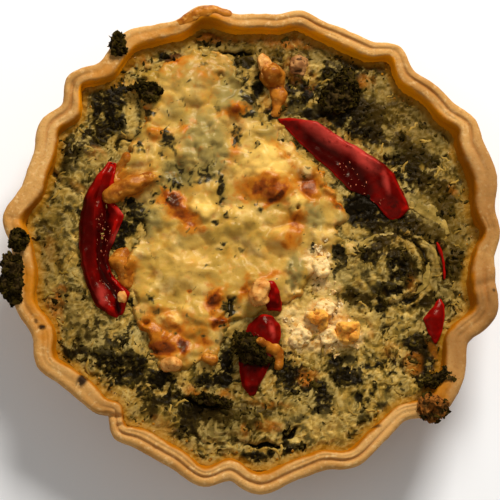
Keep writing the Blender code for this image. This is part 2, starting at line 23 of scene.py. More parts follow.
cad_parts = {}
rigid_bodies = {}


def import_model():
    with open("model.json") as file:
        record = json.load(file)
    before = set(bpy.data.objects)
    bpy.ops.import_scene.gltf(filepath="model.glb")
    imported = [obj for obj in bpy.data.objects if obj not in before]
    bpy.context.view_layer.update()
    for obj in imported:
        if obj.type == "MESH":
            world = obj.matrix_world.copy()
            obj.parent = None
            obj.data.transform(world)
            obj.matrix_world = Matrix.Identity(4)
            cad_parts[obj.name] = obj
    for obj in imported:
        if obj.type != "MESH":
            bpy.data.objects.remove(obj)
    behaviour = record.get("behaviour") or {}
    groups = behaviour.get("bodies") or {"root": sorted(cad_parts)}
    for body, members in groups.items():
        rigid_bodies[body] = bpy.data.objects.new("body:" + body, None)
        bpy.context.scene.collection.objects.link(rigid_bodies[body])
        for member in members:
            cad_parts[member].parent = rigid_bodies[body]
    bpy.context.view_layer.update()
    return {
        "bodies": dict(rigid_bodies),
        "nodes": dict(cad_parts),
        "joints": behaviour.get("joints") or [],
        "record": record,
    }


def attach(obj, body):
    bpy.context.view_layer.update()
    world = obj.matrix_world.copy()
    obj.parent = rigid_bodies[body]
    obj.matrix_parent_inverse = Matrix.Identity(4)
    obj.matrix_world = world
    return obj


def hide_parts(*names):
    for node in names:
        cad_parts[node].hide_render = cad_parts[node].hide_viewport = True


LOG = logging.getLogger("quiche")
MM = 0.001
CM2_PER_M2 = 10000
BODY = "root"

Array = np.ndarray
Colour = Union[Socket, tuple[int, int, int]]
Input = Union[Socket, float, str, Colour]


# ---- small maths


def smoothstep(value: Array) -> Array:
    """Eases a value from 0 to 1 and holds it there.

    Args:
        value: Numbers of any shape.

    Returns:
        The eased numbers, between 0 and 1.
    """
    held = np.clip(value, 0.0, 1.0)
    return held * held * (3.0 - 2.0 * held)


def srgb(red: int, green: int, blue: int) -> tuple[float, float, float, float]:
    """Turns a colour as a screen shows it (0 to 255) into the linear colour of a shader.

    Args:
        red: Share of red.
        green: Share of green.
        blue: Share of blue.

    Returns:
        Linear red, green and blue, and 1 for solid.
    """
    linear = [
        (c / 255 / 12.92) if c <= 10 else ((c / 255 + 0.055) / 1.055) ** 2.4
        for c in (red, green, blue)
    ]
    return (*linear, 1.0)


class Grain:
    """Repeatable smooth randomness over points in millimetres."""

    BUMP_HEIGHT = 1.6
    SUM_HEIGHT = 1.5
    OCTAVE_SHIFT = 17.3
    FAR = 9.0

    def __init__(self, seed: int) -> None:
        """Draws the lattice's hashes and slopes from a seed.

        Args:
            seed: Fixes all that is drawn.
        """
        draw = np.random.default_rng(seed)
        self.hashes = draw.permutation(256)
        slopes = draw.normal(size=(256, 3))
        self.slopes = slopes / np.linalg.norm(slopes, axis=1, keepdims=True)
        self.jitter = draw.random((256, 2))

    def smooth(self, points: Array, size: float) -> Array:
        """Gradient noise of about -1 to 1.

        Args:
            points: An array (..., 3) of places.
            size: Width of one bump.

        Returns:
            The noise at each place.
        """
        scaled = points / size
        corner = np.floor(scaled).astype(int)
        within = scaled - corner
        fade = within**3 * (within * (within * 6 - 15) + 10)
        total = np.zeros(points.shape[:-1])
        for step in np.ndindex(2, 2, 2):
            key = self.hashes[(corner[..., 0] + step[0]) & 255]
            key = self.hashes[(key + corner[..., 1] + step[1]) & 255]
            key = self.hashes[(key + corner[..., 2] + step[2]) & 255]
            slope = (self.slopes[key] * (within - np.array(step))).sum(-1)
            weight = np.prod(np.where(np.array(step), fade, 1 - fade), axis=-1)
            total += weight * slope
        return total * self.BUMP_HEIGHT

    def fractal(self, points: Array, size: float, octaves: int = 4, gain: float = 0.5) -> Array:
        """Adds ever finer noise.

        Args:
            points: An array (..., 3) of places.
            size: Width of the largest bumps.
            octaves: How many sizes are added, each half the one before.
            gain: Height of each size against the one before.

        Returns:
            The noise at each place, about -1 to 1.
        """
        total, height, reach = 0.0, 1.0, 0.0
        for octave in range(octaves):
            shifted = points + self.OCTAVE_SHIFT * octave
            total = total + height * self.smooth(shifted, size / 2**octave)
            reach += height
            height *= gain
        return total / reach * self.SUM_HEIGHT

    def cells(self, flat: Array, size: float) -> tuple[Array, Array]:
        """Distances to the nearest and the second nearest of scattered middles.

        Args:
            flat: An array (..., 2) of places.
            size: Mean spacing of the middles.

        Returns:
            The two distances, in units of size.
        """
        scaled = flat / size
        corner = np.floor(scaled).astype(int)
        nearest = np.full(flat.shape[:-1], self.FAR)
        second = nearest.copy()
        for dx in (-1, 0, 1):
            for dy in (-1, 0, 1):
                key = self.hashes[(corner[..., 0] + dx) & 255]
                key = self.hashes[(key + corner[..., 1] + dy) & 255]
                middle = corner + np.array((dx, dy)) + self.jitter[key]
                away = np.linalg.norm(scaled - middle, axis=-1)
                second = np.minimum(second, np.maximum(nearest, away))
                nearest = np.minimum(nearest, away)
        return nearest, second


@dataclass(frozen=True)
class Patch:
    """An oval spot on the quiche's top, in millimetres and degrees."""

    x: float
    y: float
    across: float
    along: float
    strength: float = 1.0
    turn: float = 0.0

    def within(self, x: Array, y: Array) -> tuple[Array, Array]:
        """Places along the oval's own two directions, 1 on its edge.

        Args:
            x: Places along X in millimetres.
            y: Places along Y in millimetres.

        Returns:
            The two places, each 1 on the edge.
        """
        turn = math.radians(self.turn)
        dx, dy = x - self.x, y - self.y
        along_x = (dx * math.cos(turn) + dy * math.sin(turn)) / self.across
        along_y = (dy * math.cos(turn) - dx * math.sin(turn)) / self.along
        return along_x, along_y

    def weight(self, x: Array, y: Array, softness: float) -> Array:
        """Strength inside the oval, fading to zero across its edge.

        Args:
            x: Places along X.
            y: Places along Y.
            softness: Width of the fading edge, as a share of the oval.

        Returns:
            The weight at each place.
        """
        away = np.hypot(*self.within(x, y))
        return self.strength * smoothstep((1 + softness - away) / (2 * softness))

    def dome(self, x: Array, y: Array) -> Array:
        """Height of a rounded lump with steep sides, zero outside the oval."""
        along_x, along_y = self.within(x, y)
        return self.strength * np.sqrt(np.clip(1.0 - along_x**2 - along_y**2, 0.0, 1.0))


def patches(rows: Sequence[Sequence[float]]) -> tuple[Patch, ...]:
    """Makes patches from rows of numbers in the order of their fields."""
    return tuple(Patch(*row) for row in rows)


def bell(value: Array, middle: float, width: float) -> Array:
    """A bell curve, 1 at its middle."""
    return np.exp(-(((value - middle) / width) ** 2))


def bead(away: Array, width: float) -> Array:
    """A round bead's height over its middle's distance, zero past its width."""
    return np.sqrt(np.clip(1 - (away / width) ** 2, 0, 1))


def bell_weights(width: float) -> Array:
    """Weights of a bell curve over whole steps, which add up to 1.

    Args:
        width: Its spread in steps.

    Returns:
        An odd number of weights, the largest in the middle.
    """
    reach = int(3 * width) + 1
    weights = np.exp(-0.5 * (np.arange(-reach, reach + 1) / width) ** 2)
    return weights / weights.sum()


def cover(spots: Sequence[Patch], x: Array, y: Array, softness: float) -> Array:
    """The strongest patch at each place.

    Args:
        spots: Patches.
        x: Places along X.
        y: Places along Y.
        softness: Width of each fading edge.

    Returns:
        The largest weight at each place.
    """
    total = np.zeros_like(x)
    for spot in spots:
        total = np.maximum(total, spot.weight(x, y, softness))
    return total


def pile(spots: Sequence[Patch], x: Array, y: Array) -> Array:
    """Joins rounded lumps that run into one another.

    Args:
        spots: Patches whose strength is a height.
        x: Places along X.
        y: Places along Y.

    Returns:
        The heights.
    """
    total = np.zeros_like(x)
    for spot in spots:
        total = total + spot.dome(x, y) ** 3
    return np.cbrt(total)


# ---- where things lie

# Rows are x, y, half-width and half-length in millimetres, then the strength where it isn't 1,
# and the turn in degrees where the patch is turned.

# Where cooked leaves show in the custard.
SPINACH = patches((
    (28.5, 52, 7, 8, 1, -20), (26, 58, 4, 4), (33, 63, 6, 3.5, 0.9), (24, 46, 6, 3, 0.95, -30),
    (37, 46, 9, 4, 1, -20), (37, 40, 9, 3.5, 1, -25), (20, 44.5, 5, 2, 0.9, -5), (44, 60, 3, 2.4, 0.5),
    (29, 42, 5, 2.5, 0.7, -20), (51, 31, 7, 5, 0.9, -20), (59, 29, 3.5, 3, 0.7), (57, 22, 8, 4, 0.9, -40),
    (49, 36, 5, 3, 0.6), (64, 15, 3, 6, 0.8), (36, 13, 5.5, 6.5, 1.25, -30), (40, 8, 5, 3.5, 1.1, -30),
    (48, 6, 8, 3.5, 0.7, 10), (59, 5, 4, 3, 0.8, -30), (52, 24, 4, 3, 0.6), (49, -8, 5, 8, 0.75, 20),
    (38, -3, 5, 4, 0.6), (44, -15, 8, 2.5, 0.75, 10), (56, -18.5, 6, 2.2, 0.9, 12),
    (56, -5, 2.5, 5, 0.6, 10), (36, -8, 3, 6, 0.35), (42, 1.5, 6, 2, 0.8, 10), (67, -6, 2.8, 5, 0.9),
    (31, -17, 3.5, 3, 0.6), (38, -19, 7, 3, 0.55, -15), (28, -4, 3, 4.5, 0.9), (26.5, -20, 1.2, 5, 0.8, -15),
    (54, -39, 4, 3.4, 0.7), (30.5, -44, 4.5, 4), (28, -39, 5, 3, 0.7), (23, -52, 3, 5, 0.9, 15),
    (36, -58, 3, 2, 0.5), (42, -54, 3, 1.6, 0.7), (34.5, -51.5, 1.2, 1.6, 0.9), (9, -38, 5, 7, 0.65),
    (12, -46, 6, 5, 0.6), (-9.5, -43, 1.8, 7, 0.95), (-15, -46, 5, 3, 0.7), (-16, -54.5, 9, 3, 1, -8),
    (-19, -57, 6, 3, 0.85), (-4, -59, 9, 4, 0.45), (-22, -62, 6, 4, 0.5, 30), (-31, -47, 6, 3.5, 0.8, -20),
    (-27, -52, 5, 3, 0.6), (-34, -55, 3, 5, 0.5), (12, -61, 4, 3, 0.6, 40), (0, -71.5, 6, 1.8, 0.6),
    (10, -69, 7, 2, 0.55, 15), (-42, -42, 7, 5, 0.75, 10), (-50, -39, 6, 4, 0.55, -10),
    (-58, -38, 5, 3, 0.6), (-56, -31, 7, 4, 0.25), (-47, -34, 5, 4, 0.45), (-38, -47, 6, 2.5, 0.65, -15),
    (-64, -20, 2, 4.5, 0.75), (-66, -9, 3, 5, 0.2), (-64, -1, 3, 5, 0.2), (-70, 3, 2.5, 5, 0.2),
    (-63, 7, 4, 4, 0.25), (-59, 31, 6, 3.5, 0.6, -10), (-54, 35, 5, 3.5, 0.7), (-62, 26, 3.5, 4, 0.6),
    (-52, 38, 5, 4, 0.6), (-57, 23, 5, 1.6, 0.4, -20), (-47, 41, 3, 6, 0.85, 25), (-52, 47, 4, 4, 0.75),
    (-47, 52, 4, 5, 0.65), (-43, 4, 3.5, 3, 0.85), (-39, 8, 5, 2.5, 0.5), (-45.5, -1, 2.5, 2.5, 0.8),
    (-41, 12, 2.5, 2.5, 0.7), (-29.5, 63.5, 3, 1.8, 0.9), (-17, 70, 4, 2, 1, -5), (-4, 62.5, 3, 2.5, 0.8),
    (1, 55, 2, 6, 0.85, -15), (6, 45, 3, 2.5, 0.7), (14, 52, 5, 5, 0.5), (12, 46.5, 4, 3, 0.6),
    (56, 41.5, 1.6, 1.2, 0.9), (-45, 59, 2.4, 1.6, 1, 40), (57, -35, 6, 5, 0.85, -20), (61, -45, 5, 5, 0.9),
))

# Clefts in the custard, sunk into the relief and painted near black as shade.
CREVICES = patches((
    (4, -67.4, 6.5, 0.8), (12, -64, 3.2, 0.9, 1, 42), (-8, -67.2, 9, 0.7, 0.35, 2),
    (-17.5, -66, 4, 0.7, 0.5, -25), (-67, 22, 4, 0.9, 0.7, -52), (-61.5, 17.2, 3.5, 0.9, 0.5, -30),
    (-6.5, 65.4, 5.5, 0.7), (-41, 34.8, 5, 0.7, 0.8), (-46.5, 33, 0.8, 2.2, 0.6, -20),
    (-17, -53.5, 9, 1.2, 0.9, -10), (27, -21, 0.8, 5, 0.5, -14), (44, -27.5, 3.5, 0.6, 0.5, 20),
    (47.5, -40, 0.9, 5, 0.4, 35),
))

# Where crumbled feta has sunk in.
FETA_BED = patches((
    (12, -24, 4, 6, 0.6), (14, -33, 5, 5, 0.7), (22, -14, 4, 4, 0.7), (27, -27, 5, 5, 0.8),
    (20.5, -6, 4.5, 6), (23, -23, 6.5, 5), (17, -30, 6, 5), (30, -31, 6, 4), (23, -34, 8, 3, 0.8),
    (20, -28, 10, 9, 0.7), (13, -27, 3, 4, 0.5), (12, -38, 3, 2, 0.4), (26, -15, 3, 3, 0.4),
    (21, 2, 3, 2, 0.5), (31.5, -1, 2.4, 2, 0.5), (17, 24, 3, 2.5, 0.6),
))

# Where seeds cling to the peppers.
SEEDY = patches((
    (-50.4, 2, 2.4, 9, 1, 8), (-50, -14, 3, 7, 0.5, 10), (33, 22, 8, 3, 0.6, -45), (41, 15, 3, 3, 0.4),
    (-1, -33, 3, 2.5, 0.6),
))

# Painted shade: where the rim is painted darker, most of all on its right side.
RIM_PAINTED_SHADE = patches((
    (77, 18, 8, 22, 0.8), (77, -18, 8, 14), (68, -34, 6, 10, 0.9), (56, 52, 14, 8, 0.3, -45),
    (62, -50, 8, 12, 0.7), (-60, 48, 8, 10, 0.2), (-46, -60, 6, 6, 0.3),
))

# Herb specks on the cheese.
CHEESE_SPECKS = patches((
    (-17, 21, 4, 1.5, 1, 25), (-11.8, 19, 0.9, 5, 1, 4), (-28.5, 33.5, 1.3, 3, 0.9, 10),
    (-6.5, 37, 1.8, 3.5, 0.85), (-13.6, 6, 1.3, 0.9), (1.2, 10.6, 1.2, 1), (-10.8, -0.8, 1.1, 0.9),
    (-8.6, -21.6, 2, 1.7), (-17, -32, 1, 0.8, 0.8), (-27, -30.6, 1.6, 0.9, 0.6),
    (-36.6, 43.6, 3.2, 1.1, 1, -15), (-37.8, 30, 1.2, 0.8), (-22, 23, 1.8, 1.2, 0.9, 30),
    (-3.6, 14.4, 0.5, 0.9, 0.9), (-7.4, 26.8, 1, 0.4, 0.7), (18.8, -1.2, 0.6, 1.3), (-6, 33, 1, 1.5, 0.6),
    (-26.5, 20.5, 2.5, 2.5, 0.5), (-31.5, 19, 1.5, 4, 0.45), (11.4, -9, 0.8, 1.6, 0.8),
    (-24, -45.5, 2, 1.5, 0.7), (28, 12, 2.5, 1, 0.5, -30), (-30, 25, 3, 2, 0.35),
    (10.6, -13.6, 0.7, 0.9, 0.9),
))

# Lumps in the cheese, with their height as strength.
CHEESE_LUMPS = patches((
    (4, 19, 9, 5.5, 1.7, 8), (3, 29, 8, 5, 0.9), (14, 12, 3.5, 5, 1.2), (6, 8, 5, 2.4, 0.9, 10),
    (9, 1.5, 7, 3.5, 1, 10), (24.5, 20.5, 6, 3.6, 1.8, -38), (17.5, 24.5, 2.6, 2.6, 1.4),
    (18.5, 18, 3, 3, 0.9), (20.5, 27, 2.6, 1.4, 1.2, -40), (22, 2, 5, 3.6, 0.8), (31.5, -1, 2.2, 2, 0.9),
    (-18, 11.5, 4.8, 4.2, 1.7, -25), (-27, 13.5, 4.5, 3, 1, -35), (-9, 10, 4, 2.5, 0.9),
    (-13.5, 18.5, 2.2, 2.6), (-41, 18, 9, 2.6, 2, 27), (-45, 23.5, 2.6, 4.2, 1.5, -25),
    (-40.5, 29, 4.2, 4.6, 1.7), (-34.5, 28, 2, 5), (-33, 36.5, 4, 2, 1, -10), (-24, 31, 3, 7, 1.2, 12),
    (-17, 30, 2.6, 2.8, 0.9), (-14, 36, 3.4, 3, 0.8), (-18.5, 38, 3, 2.4, 0.7), (-12, 41.5, 3.4, 2.6, 0.7),
    (-44.5, -8.5, 4.2, 5.6, 2.1, 15), (-36.5, -3.5, 5, 3, 0.9), (-36.5, -16.5, 4, 4.5, 0.8, 40),
    (-30, -8, 5, 4, 0.6), (-20, -9, 9, 3, 0.7), (-12.8, -6.5, 1.8, 1.5, 0.7),
    (-28.5, -26.8, 4.2, 2.6, 1.4, 12), (-31, -22.6, 4.4, 1.8, 0.9), (-33.5, -31, 4, 3, 1, 20),
    (-21, -24, 5, 4, 0.9, -40), (-22, -30, 3.4, 2.6, 0.9), (-12.5, -18.4, 3.2, 2.6, 1.3),
    (-12, -26, 3.4, 2.6, 1.2, 20), (-15, -39.4, 2.8, 2, 1.6), (-27.5, -41.5, 3.8, 3.4, 1.5),
    (-34, -40, 2.4, 3.4, 1.2, 30), (-19, -36.5, 3, 2.2, 0.7), (-20, 50, 5, 3.8, 0.9, 10),
    (-12, 53, 3, 3.4, 0.7), (-29, 46, 3.5, 5, 0.7), (-27, 57, 6, 3, 0.7, 15), (-15, 58, 5, 3.6, 0.6),
    (-6, 46, 4, 4), (2, 38.5, 4, 2.4, 0.8, 10), (-1, 33, 3, 2, 0.6), (12, -1, 2.6, 2.4, 0.7),
    (3, -6, 4.5, 3.6, 0.6), (-3, -14.5, 2.4, 6, 0.8, -35), (14, -19, 3.4, 3, 0.9), (13.5, -9, 2.6, 3.6, 0.6),
    (-26, 3, 5, 4, 0.5), (-10, -31, 3, 3, 0.8), (-4, 3, 4, 4, 0.5), (-41.5, 44, 2, 6, 0.6),
))

# Roasted spots of the cheese.
BROWNED = patches((
    (3.5, 17.5, 8.5, 4, 0.82, 5), (7, 15.2, 4.8, 1.4, 1.1, 38), (-2, 19, 4, 3, 0.5), (13.6, 6, 2.4, 5, 0.6),
    (10.8, 0.2, 2.2, 2, 0.62), (18, 19, 3.2, 4.4, 0.85), (27, 13.8, 3.6, 1.6, 0.75, -35),
    (29.5, 16.5, 2.2, 2.2, 0.55), (24, 21, 6, 3.4, 0.36, -40), (15.5, 22, 2, 3, 0.5),
    (20.5, 25.8, 2.2, 1.8, 0.45), (-28, 13.4, 4.6, 2.8, 1.25, -35), (-24.5, 9, 5, 2.6, 0.9, -45),
    (-21.5, 6.2, 3.6, 2, 0.62, -20), (-17, 3.4, 2, 1.4, 0.42), (-43.5, 14.6, 7, 1.6, 0.6, 25),
    (-41, 18.5, 8, 2.4, 0.36, 27), (-45.2, 23, 2.2, 4, 0.42, -20), (-47.5, 17, 2, 3.4, 0.48),
    (-44.6, -9.6, 4, 4.6, 0.46, 15), (-43.8, -12.6, 2.6, 2, 0.72), (-47, -8, 2.2, 1.4, 0.4, -20),
    (-38.4, 43.6, 1.8, 3.4, 0.8, 8), (-33.5, 36.2, 3.4, 1.6, 0.45), (-24.2, 37.4, 0.9, 1.6, 0.55),
    (-6.4, 45, 3.6, 2.6, 0.72), (-7, 35, 1.6, 4, 0.55), (-13.4, -19.8, 3, 3.2),
    (-11.6, -26.8, 3.2, 2.4, 1, 20), (-14.6, -23, 1.6, 3, 0.55), (-21.8, -17, 1.1, 0.8, 0.85),
    (-24, -35.6, 2, 3, 1.15, 10), (-31, -36, 6.5, 3, 0.95), (-31, -32, 8, 6, 0.62), (-26, -31, 4, 4, 0.6),
    (-36, -30, 3, 5, 0.6), (-34, -31, 4, 4.4, 0.4), (-35.6, -38.6, 2.4, 3.2, 0.5, 30),
    (-17, -33.6, 3.4, 3, 0.5), (-15, -39.6, 2.6, 1.8, 0.4), (-24.8, -41.6, 1, 3.4, 0.42, 12),
    (-30.8, -43.4, 3.6, 1, 0.5, -25), (-31, -25, 6, 3.6, 0.28), (-22.5, -28, 4, 3, 0.34),
    (14, -19, 1.6, 1.4, 0.7), (-3.6, -16, 1.6, 4.4, 0.5, -30), (4, -11.4, 3.4, 1.2, 0.5, 20),
    (-5.4, -19.4, 1.6, 1.4, 0.5), (-42, -27, 2, 6, 0.42, 8), (-27, 63, 3, 1.4, 0.6, 20),
    (-38, 63, 4.5, 3, 0.7, 10), (-40, 66, 4, 3, 0.4), (-32, 59, 3, 2, 0.25), (9, 30, 1.6, 5, 0.35, 38),
    (13, 34.5, 1, 4, 0.45, 38), (-12.4, 44, 2, 1.4, 0.3),
))

# Creamy spots of the cheese.
BRIGHT = patches((
    (3.5, 28, 8.5, 5, 1.1), (13.6, 13, 2.8, 3.2, 0.9), (-18, 11, 3.8, 3.6, 1, -25), (-28.4, -26.8, 4.2, 2.8),
    (-5, 24, 4, 4, 0.6), (9, 4.5, 5, 2.6, 0.55), (-40.5, 31.5, 3, 1.4, 0.5), (22, 2.4, 4, 3, 0.45),
    (-24, -22, 4, 2.5, 0.5, -40), (-25, -13, 8, 3, 0.3), (14, 33, 2, 5, 0.35, 38), (6, -4, 5, 3, 0.5),
    (-2, 33.5, 2.2, 1.6, 0.5), (25, 20, 6.5, 3.4, 0.55, -40), (11, 33, 2.5, 5, 0.4, 38),
    (-31, 53, 5, 4, 0.5), (-13, -10, 12, 3, 0.35), (-36, -14, 4, 5, 0.4), (8, -3, 6, 3, 0.5),
    (-6, 11, 5, 2, 0.5),
))

# Golden stretches of the cheese.
WARM = patches((
    (3, 19, 12, 7, 0.9), (12, 6, 5, 10, 0.95, -10), (8, 0, 8, 5, 0.7), (20, 19, 6, 9, 0.95, -30),
    (27, 17, 6, 7, 0.9), (-24, 10, 8, 5, 1, -30), (-17, 5, 5, 3, 0.7), (-41, 18, 10, 5, 1, 25),
    (-46, 23, 4, 5, 0.8), (-44, -9, 5.5, 8, 1, 15), (-43, -22, 3, 7, 0.7, 5), (-30, -31, 11, 9),
    (-20, 57, 13, 7, 0.65), (-28, 50, 6, 6, 0.4), (-37, -34, 4, 7, 0.9, 20), (-19, -30, 6, 8, 0.75),
    (-13, -22, 5, 7, 0.95), (-15, -39, 5, 4, 0.9), (-27, -42, 6.5, 5, 0.8), (-3, -15, 4, 6, 0.7),
    (6, -11, 6, 3, 0.7), (14, -19, 4, 3, 0.7), (-33, 36, 6, 3, 0.8), (-42, 33, 6, 2, 0.7),
    (-36, 25, 3, 7, 0.5), (-38, 44, 3, 5, 0.8), (-25, 37, 2, 5, 0.6), (-38, 64, 9, 5, 1, 10),
    (-25, 63, 8, 3, 0.8, 15), (-8, 28, 3, 8, 0.6, -10), (9, 31, 3, 9, 0.6, 38), (-7, 44, 5, 5, 0.5),
    (-30, -17, 5, 3, 0.4), (-24, -12, 8, 3, 0.3), (14, 34, 2, 8, 0.7, 38), (-12, 57, 8, 2, 0.3, 10),
    (12, 22, 4, 6, 0.8), (-22, 4, 5, 2.5, 0.9), (-1, -24, 3, 3, 0.4),
))

# Grey-green stretches of the cheese.
COOL = patches((
    (-17, 32, 8, 13, 0.9, 10), (-7, 53, 7, 10, 1, -10), (-25, 23, 7, 5, 0.9), (-4, 2, 6, 6, 0.3),
    (-20, 57, 12, 7, 0.6), (19, 9, 4, 6, 0.8), (30, 8, 4, 5, 0.7), (-38, 6, 6, 6, 0.9), (-12, 1, 8, 4, 0.2),
    (13, -9, 3, 6, 0.9), (-9, -30, 3, 4, 0.9), (-24, 0, 6, 4, 0.35), (-9, 14, 7, 3, 0.45),
    (-28, 45, 5, 6, 0.5), (4, 38, 5, 3, 0.6), (-36, 30, 3, 3, 0.4), (-22, 52, 6, 5, 0.3),
    (-36, -3, 6, 3, 0.4), (1, 47, 4, 4, 0.9), (0, 58, 4, 4, 0.9), (26, -1, 4, 3, 0.4),
    (-28, -20, 6, 2, 0.25), (-38, 12, 3, 3, 0.6), (-40, 54, 4, 6, 0.5), (-5, -8, 5, 3, 0.3),
    (-20, 57, 10, 7, 0.4), (-31, 58, 5, 5, 0.3),
))

# Where the cheese is thin and the custard shows.
GAPS = patches((
    (-27, 21, 6.5, 5, 0.75, 20), (-40, 6, 4.5, 7, 1, -10), (-16, 24, 5, 3.5, 0.6, 10), (-1, 51, 4, 9, 0.95),
    (-46, 42, 4, 7, 1, 10), (-42, 35, 5, 2, 0.8), (-30.5, 33, 2.6, 4, 0.7), (-24.5, 41, 1.4, 5, 0.4, -20),
    (18.5, -2.5, 1.8, 2.4, 0.8), (27, -5, 3, 3.6, 0.9), (12.5, -14, 1.4, 3, 0.7), (-8.5, -22, 3, 2.2, 0.8),
    (-6.5, 35, 2, 4, 0.7), (-11.6, 17, 1.4, 6.5, 0.8, 3), (-34, 17, 3, 5, 0.6, 20), (-28, 57, 3, 1.4, 0.25),
    (-41, -33, 3, 7, 0.8, 10), (-9, -31, 3, 5, 0.7), (-22, 50, 1, 4, 0.35, 25), (-34, 47, 1.6, 5, 0.45, 10),
    (30, 4, 3, 2, 0.4), (-36, 63, 3, 1.6, 0.3), (-20, -45, 5, 2.5, 0.7), (4, 42, 5, 2.4, 0.5, 20),
    (-13, 46, 1.2, 4, 0.35), (16, 0, 1.2, 5, 0.3),
))

# Scorched spots of the rim.
RIM_SCORCHES = patches((
    (-70, -30.4, 1.3, 0.8), (-72, -28.4, 0.6, 0.8, 0.7), (-56.5, -47.5, 1.6, 2.6, 1, -30),
    (-55, -46, 1.4, 1.2, 0.8), (78.8, -15.6, 0.6, 0.6, 0.8), (63, 53, 1.4, 0.8, 0.7, -40),
    (39.6, -61, 1.8, 0.7, 0.8), (-27, 72.4, 3, 1.6, 0.25, 10),
))

# Where filling has run over the rim.
RIM_SPILLS = patches((
    (-18, 77.5, 9, 6), (-30, 72.8, 4, 2.6, 0.8, 15), (-38, 68, 6, 4, 0.5, 15), (-77, 1, 3, 6, 0.9),
    (-74, -18, 3, 9, 0.9, 12), (-70, -31, 3, 6, 0.7, 25), (60, -50, 6, 10, 0.8, 30),
    (-52, 56, 4, 6, 0.5, 40),
))

# Raised slabs of custard.
SLABS = patches((
    (-5.5, -59.5, 10, 4.6, 1, 2), (-60, 27, 9, 6.5, 0.9, -50), (-56, -21, 6, 8, 0.5),
    (-62, -6, 3, 11, 0.7, 8), (25, -62, 8, 4, 0.6, 20), (9, -52, 5, 3, 0.5), (44, 32, 4.5, 2, 0.6, 5),
    (23.5, 54, 1.6, 8, 0.7, -28), (13.5, 61, 4.2, 5, 0.9), (35, -24, 4, 3, 0.6), (-8, 61, 6, 2.4, 0.6),
    (55, 15, 5, 3, 0.5, -40), (7.4, 49, 1.8, 5), (-41, 64, 5, 3.4, 0.8, 20), (0, -52.5, 6, 1.4, 0.6, -12),
    (46, -6, 11, 9.5, 0.45), (-53, 28.5, 3, 2.4, 0.6), (-29.5, -57, 6, 3, 0.5, -30),
))

# Where the custard has sunk beside a sliver of pepper.
SUNKEN = patches((
    (61.6, -0.6, 1.3, 3.4, 1, 14), (63, -6.6, 1.3, 5.6, 1, 4),
))

# Pale stretches of the custard.
CUSTARD_PALE = patches((
    (22, -61, 9, 4.5, 0.9, 15), (13, -57, 3.5, 5, 0.7), (31, -56, 5, 3.4, 0.6), (45, -52, 4, 3.6, 0.5),
    (-59, -25, 6, 7, 0.4), (-66, -17, 3, 6, 0.6), (-61, -2, 3, 10, 0.45, 8), (-55, 26, 4, 7, 0.6, -60),
    (44, 32, 5, 1.6, 0.9, 5), (45, 56, 4, 5, 0.45), (55, 46, 5, 3, 0.5, -50), (13, 46, 3.6, 1.2, 0.6, 15),
    (24, 53, 1.4, 8, 0.85, -28), (38, -25, 4.5, 3, 0.75), (33, -20, 3, 1.2, 0.6, 30), (9, -62, 3, 3.4, 0.5),
    (-43, 36, 5, 2, 0.5), (-42, 42, 2, 7, 0.7), (52, 14, 7, 2, 0.75, -35), (59, 8, 2, 7, 0.5, 10),
    (38, -11, 5, 4, 0.35), (33, -37, 3, 6, 0.4, 10), (50, -26, 4, 3, 0.35), (-52, -35.5, 6, 2, 0.5, -10),
    (-46, -29, 4, 3, 0.5), (-22, 66.5, 4, 1.6, 0.6, 10), (-9, 63, 3, 1.2, 0.6), (17, -29, 6, 5, 0.6),
    (24, -8, 5, 6, 0.35), (60, 34, 3, 3, 0.3), (4, -46, 1, 4, 0.3), (-32, -62, 6, 3, 0.4, -30),
    (15, -66, 4, 2, 0.4),
))

# Painted shade: stretches of the custard painted darker, mostly beside the wall.
CUSTARD_PAINTED_SHADE = patches((
    (63, 6, 9, 24, 1.25), (52, 45, 18, 11, 1.15, -45), (6, 67, 26, 5, 1, -3), (-68, 2, 5, 24, 0.8),
    (-60, 30, 9, 9, 0.4), (-60, -26, 7, 9, 0.8), (-4, -58, 14, 7, 0.7), (40, -66, 14, 5, 0.6, 30),
    (47, 2, 10, 5, 0.7), (-33, -60, 14, 6, 0.5, -30), (33, -18, 6, 4, 0.7), (60, -32, 7, 9, 0.3, 30),
))

# Toasted spots of the custard, and painted shadow in the long strips along the top wall.
CUSTARD_TOAST_AND_SHADOW = patches((
    (-53, 29.3, 3, 2.2, 0.6), (-64.5, -19, 2.4, 3, 0.75), (-67, -25, 3, 5, 0.6, 20),
    (5.5, -54.2, 7, 1.5, 0.7, -10), (5, -61.5, 4, 1.8, 0.75), (-3.5, -63, 1.2, 2.4, 0.6),
    (17.5, -44.6, 3, 2.8, 0.9), (52.4, -40, 2.8, 3.6, 0.85), (37, 56.4, 3, 2.2, 0.6),
    (66, 20, 1.8, 1.8, 0.6), (-19, -50.4, 5, 1.6, 0.8, -20), (-9.8, -51.3, 2.4, 1.8, 0.7),
    (-40.5, 62.5, 5, 3.4, 0.75), (7.5, 52, 1.8, 7, 0.85, 8), (13.6, 60.5, 3.6, 4.2, 0.8),
    (38, -28.5, 1.4, 2.6, 0.5, 20), (26.5, 48, 3, 3, 0.35), (19, 56, 1.2, 4, 0.4, -20),
    (61, -38, 1.4, 7, 0.6, 30), (46, -35, 3, 3, 0.35), (-25, 62, 6, 2.4, 0.45, 10), (60.5, 52, 3, 2.5, 0.3),
    (-59.5, 18, 3, 1.6, 0.4, -30), (3.5, 50, 1.4, 4, 0.5, -12), (-68, -3, 2, 4, 0.3),
    (8, 70, 14, 2, 0.8, -6), (-12, 71, 10, 2, 0.7, 4), (34, 65, 8, 2, 0.5, -24), (-30, -61, 4, 2, 0.4, -30),
    (52, -13, 2, 3, 0.3),
))


